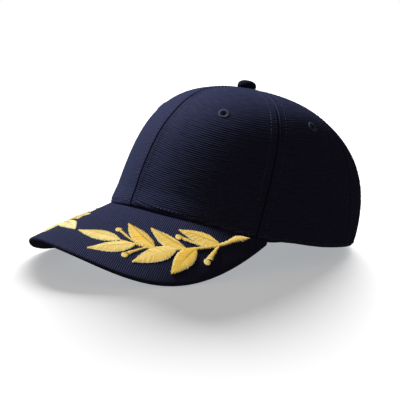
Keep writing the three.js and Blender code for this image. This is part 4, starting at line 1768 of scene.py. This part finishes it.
    def pad_leaf(self, leaf: Leaf, branch: Branch) -> None:
        """Lays the padding that a leaf's stitches cross, in the same gold, so that no cloth shows through.

        Args:
            leaf: Its outline.
            branch: The branch that it is part of.
        """
        root, tip = self.place(leaf.base), self.place(leaf.tip)
        spine = tip - root
        across = np.array([-spine[1], spine[0]])
        steps = 24
        share = np.linspace(*self.pad_ends, steps)
        swell = np.sin(math.pi * share ** self.leaf_fullness)
        middle = (leaf.left - leaf.right) / 2 * swell
        half_width = (leaf.left + leaf.right) / 2 * swell
        flat = (root + spine * share[:, None] + across * middle[:, None]) * np.array([branch.side, 1.0])
        path = self.shape.on_peak(flat)
        normals = unit(self.shape.above_peak(flat, 1.0) - path)
        half = self.pad_width * half_width * float(np.linalg.norm(spine)) + self.pad_margin
        rise = self.pad_height * (self.edge_height + self.padded(half_width))
        pad = tube(path, normals, half, rise, self.pad_sides)
        branch.add(pad, self.middle_tone + leaf.tone)

    def sew_stalk(self, stalk: Stalk, branch: Branch) -> None:
        """Covers a stem or stalk with one row of slanted stitches.

        Args:
            stalk: Its places and widths.
            branch: The branch that it is part of.
        """
        knots = np.stack([self.place(p) for p in stalk.places])
        run = distances_along(knots)
        widths = np.array(stalk.widths) * self.stem_width
        count = int(run[-1] / self.thread_pitch)
        for i in range(count):
            middle = run[-1] * (i + 0.5) / count
            width = float(np.interp(middle, run, widths))
            reach = self.stalk_slant * width / 2
            ends = max(middle - reach, 0), min(middle + reach, run[-1])
            first, second = (np.array([np.interp(d, run, knots[:, k]) for k in (0, 1)]) for d in ends)
            direction = unit(second - first + 1e-9)
            across = np.array([-direction[1], direction[0]])
            ragged = branch.rng.normal(0, self.raggedness / 2, 2)
            start = first - across * (width / 2 + ragged[0])
            end = second + across * (width / 2 + ragged[1])
            top = min(self.stalk_highest, self.stalk_height + self.stalk_growth * width)
            self.sew_across(branch, start, end, top, branch.rng.normal(0, self.thread_tones))

    def sew_berry(self, berry: tuple[float, float], branch: Branch) -> None:
        """Covers a berry with side-by-side stitches over a round pad.

        Args:
            berry: Its place on the peak.
            branch: The branch that it is part of.
        """
        centre = self.place(berry)
        count = int(2 * self.berry_radius / self.thread_pitch * self.berry_crowding)
        for i in range(count):
            offset = self.berry_radius * (-1 + 2 * (i + 0.5) / count)
            half = math.sqrt(self.berry_radius ** 2 - offset ** 2)
            middle = centre + np.array([offset, 0.0])
            reach = np.array([0.0, half])
            top = self.berry_height + self.berry_growth * half / self.berry_radius
            shift = branch.rng.normal(self.berry_tone, self.thread_tones)
            self.sew_across(branch, middle - reach, middle + reach, top, shift)


def direction(azimuth: float, elevation: float) -> Vector:
    """A unit direction from the cap: azimuth 0 is in front of it, 90 on the wearer's left."""
    a, e = math.radians(azimuth), math.radians(elevation)
    return Vector((math.sin(a) * math.cos(e), -math.cos(a) * math.cos(e), math.sin(e)))


@dataclass(frozen=True)
class Sun:
    """A soft distant light for some of the pieces.

    Its angles and its softness, which is how wide it looks, are in degrees. The azimuth is measured from
    the camera's.
    """

    name: str
    strength: float
    azimuth: float
    elevation: float
    softness: float
    linking: Linking

    def add(self, camera_azimuth: float, pieces: list[bpy.types.Object]) -> None:
        """Hangs the light.

        Args:
            camera_azimuth: Where the camera stands.
            pieces: The pieces that it is linked to.
        """
        data = bpy.data.lights.new(self.name, "SUN")
        data.energy = self.strength
        data.angle = math.radians(self.softness)
        light = bpy.data.objects.new(self.name, data)
        bpy.context.scene.collection.objects.link(light)
        light.rotation_mode = "QUATERNION"
        toward = direction(camera_azimuth + self.azimuth, self.elevation)
        light.rotation_quaternion = toward.to_track_quat("Z", "Y")
        lit = bpy.data.collections.new(f"{self.name}_receivers")
        for piece in pieces:
            lit.objects.link(piece)
        light.light_linking.receiver_collection = lit
        for member in lit.collection_objects:
            member.light_linking.link_state = self.linking.value


@dataclass(frozen=True)
class Studio:
    """A pale floor, soft light from the viewer's left and the photograph's camera.

    Angles are in degrees and lengths in millimetres, but the floor's radius and the farthest thing that
    the camera sees are in metres.
    """

    aim: tuple[float, float, float] = (-3.9, -4.6, 39.3)
    distance: float = 853.4
    azimuth: float = 50.763
    elevation: float = 9.281
    roll: float = 1.196
    lens: float = 101.45
    sensor_width: float = 36.0
    farthest: float = 200.0
    floor_radius: float = 60.0
    floor_level: float = -0.6
    floor_colour: str = "#f4f4f4"
    glow_colour: str = "#f7fbff"
    ambient_colour: str = "#ffe2ce"
    floor_glow: float = 0.4
    ambient: float = 0.08
    cloth_light: Sun = Sun("key_light", 2.8, -123.0, 50.0, 16.0, Linking.ALL_BUT)
    gold_light: Sun = Sun("embroidery_light", 3.7, -35.0, 50.0, 80.0, Linking.ONLY)
    floor_light: Sun = Sun("floor_light", 10.0, 176.0, 15.0, 42.0, Linking.ONLY)

    def build(self, gold: list[bpy.types.Object]) -> None:
        """Sets the floor, the lights and the camera.

        Args:
            gold: The embroidery, which has a light of its own.
        """
        floor = self.build_floor()
        self.build_lights(floor, gold)
        self.build_camera()

    def build_floor(self) -> bpy.types.Object:
        """Lays the pale floor.

        Returns:
            The floor.
        """
        bpy.ops.mesh.primitive_circle_add(vertices=96, radius=self.floor_radius, fill_type="NGON")
        floor = bpy.context.active_object
        floor.name = "studio_floor"
        floor.location.z = self.floor_level * MM
        material, tree, output = new_material("painted_studio_floor")
        shader = add_node(tree, "ShaderNodeBsdfPrincipled", {
            "Base Color": to_linear(self.floor_colour), "Roughness": 0.9, "Specular IOR Level": 0.1,
            "Emission Color": to_linear(self.glow_colour), "Emission Strength": self.floor_glow,
        })
        tree.links.new(shader.outputs[0], output.inputs["Surface"])
        floor.data.materials.append(material)
        # The floor takes the cap's shadow, but sends no light back to it
        floor.visible_diffuse = False
        floor.visible_glossy = False
        return floor

    def build_lights(self, floor: bpy.types.Object, gold: list[bpy.types.Object]) -> None:
        """Hangs a soft light for the cloth, one for the embroidery and one for the floor.

        Args:
            floor: The floor.
            gold: The embroidery.
        """
        self.cloth_light.add(self.azimuth, [floor, *gold])
        self.gold_light.add(self.azimuth, gold)
        self.floor_light.add(self.azimuth, [floor])
        world = bpy.data.worlds.new("studio")
        world.use_nodes = True
        tree = world.node_tree
        tree.nodes.clear()
        # The camera sees a white backdrop, while the cap gets only a dim warm light from all round
        dim = add_node(tree, "ShaderNodeBackground",
                       {"Color": to_linear(self.ambient_colour), "Strength": self.ambient})
        bright = add_node(tree, "ShaderNodeBackground", {"Color": to_linear("#ffffff"), "Strength": 1.0})
        path = add_node(tree, "ShaderNodeLightPath")
        mixed = add_node(tree, "ShaderNodeMixShader", links={
            0: path.outputs["Is Camera Ray"], 1: dim.outputs[0], 2: bright.outputs[0]})
        add_node(tree, "ShaderNodeOutputWorld", links={"Surface": mixed.outputs[0]})
        bpy.context.scene.world = world
        bpy.context.scene.view_settings.view_transform = "Standard"

    def build_camera(self) -> None:
        """Stands the camera at the photograph's angle."""
        data = bpy.data.cameras.new("camera")
        data.lens = self.lens
        data.sensor_width = self.sensor_width
        data.clip_end = self.farthest
        camera = bpy.data.objects.new("camera", data)
        bpy.context.scene.collection.objects.link(camera)
        back = direction(self.azimuth, self.elevation)
        camera.location = Vector(self.aim) * MM + back * (self.distance * MM)
        camera.rotation_mode = "QUATERNION"
        level = (-back).to_track_quat("-Z", "Y")
        camera.rotation_quaternion = level @ Quaternion((0.0, 0.0, 1.0), math.radians(self.roll))
        bpy.context.scene.camera = camera


def main() -> None:
    """Builds the cap and its studio."""
    logging.basicConfig(level=logging.INFO, format="%(message)s")
    wardrobe = Wardrobe.made()
    Crown(wardrobe).build()
    Peak(wardrobe).build()
    branches = Laurel(wardrobe).build()
    Studio().build(branches)


if __name__ == "__main__":
    main()
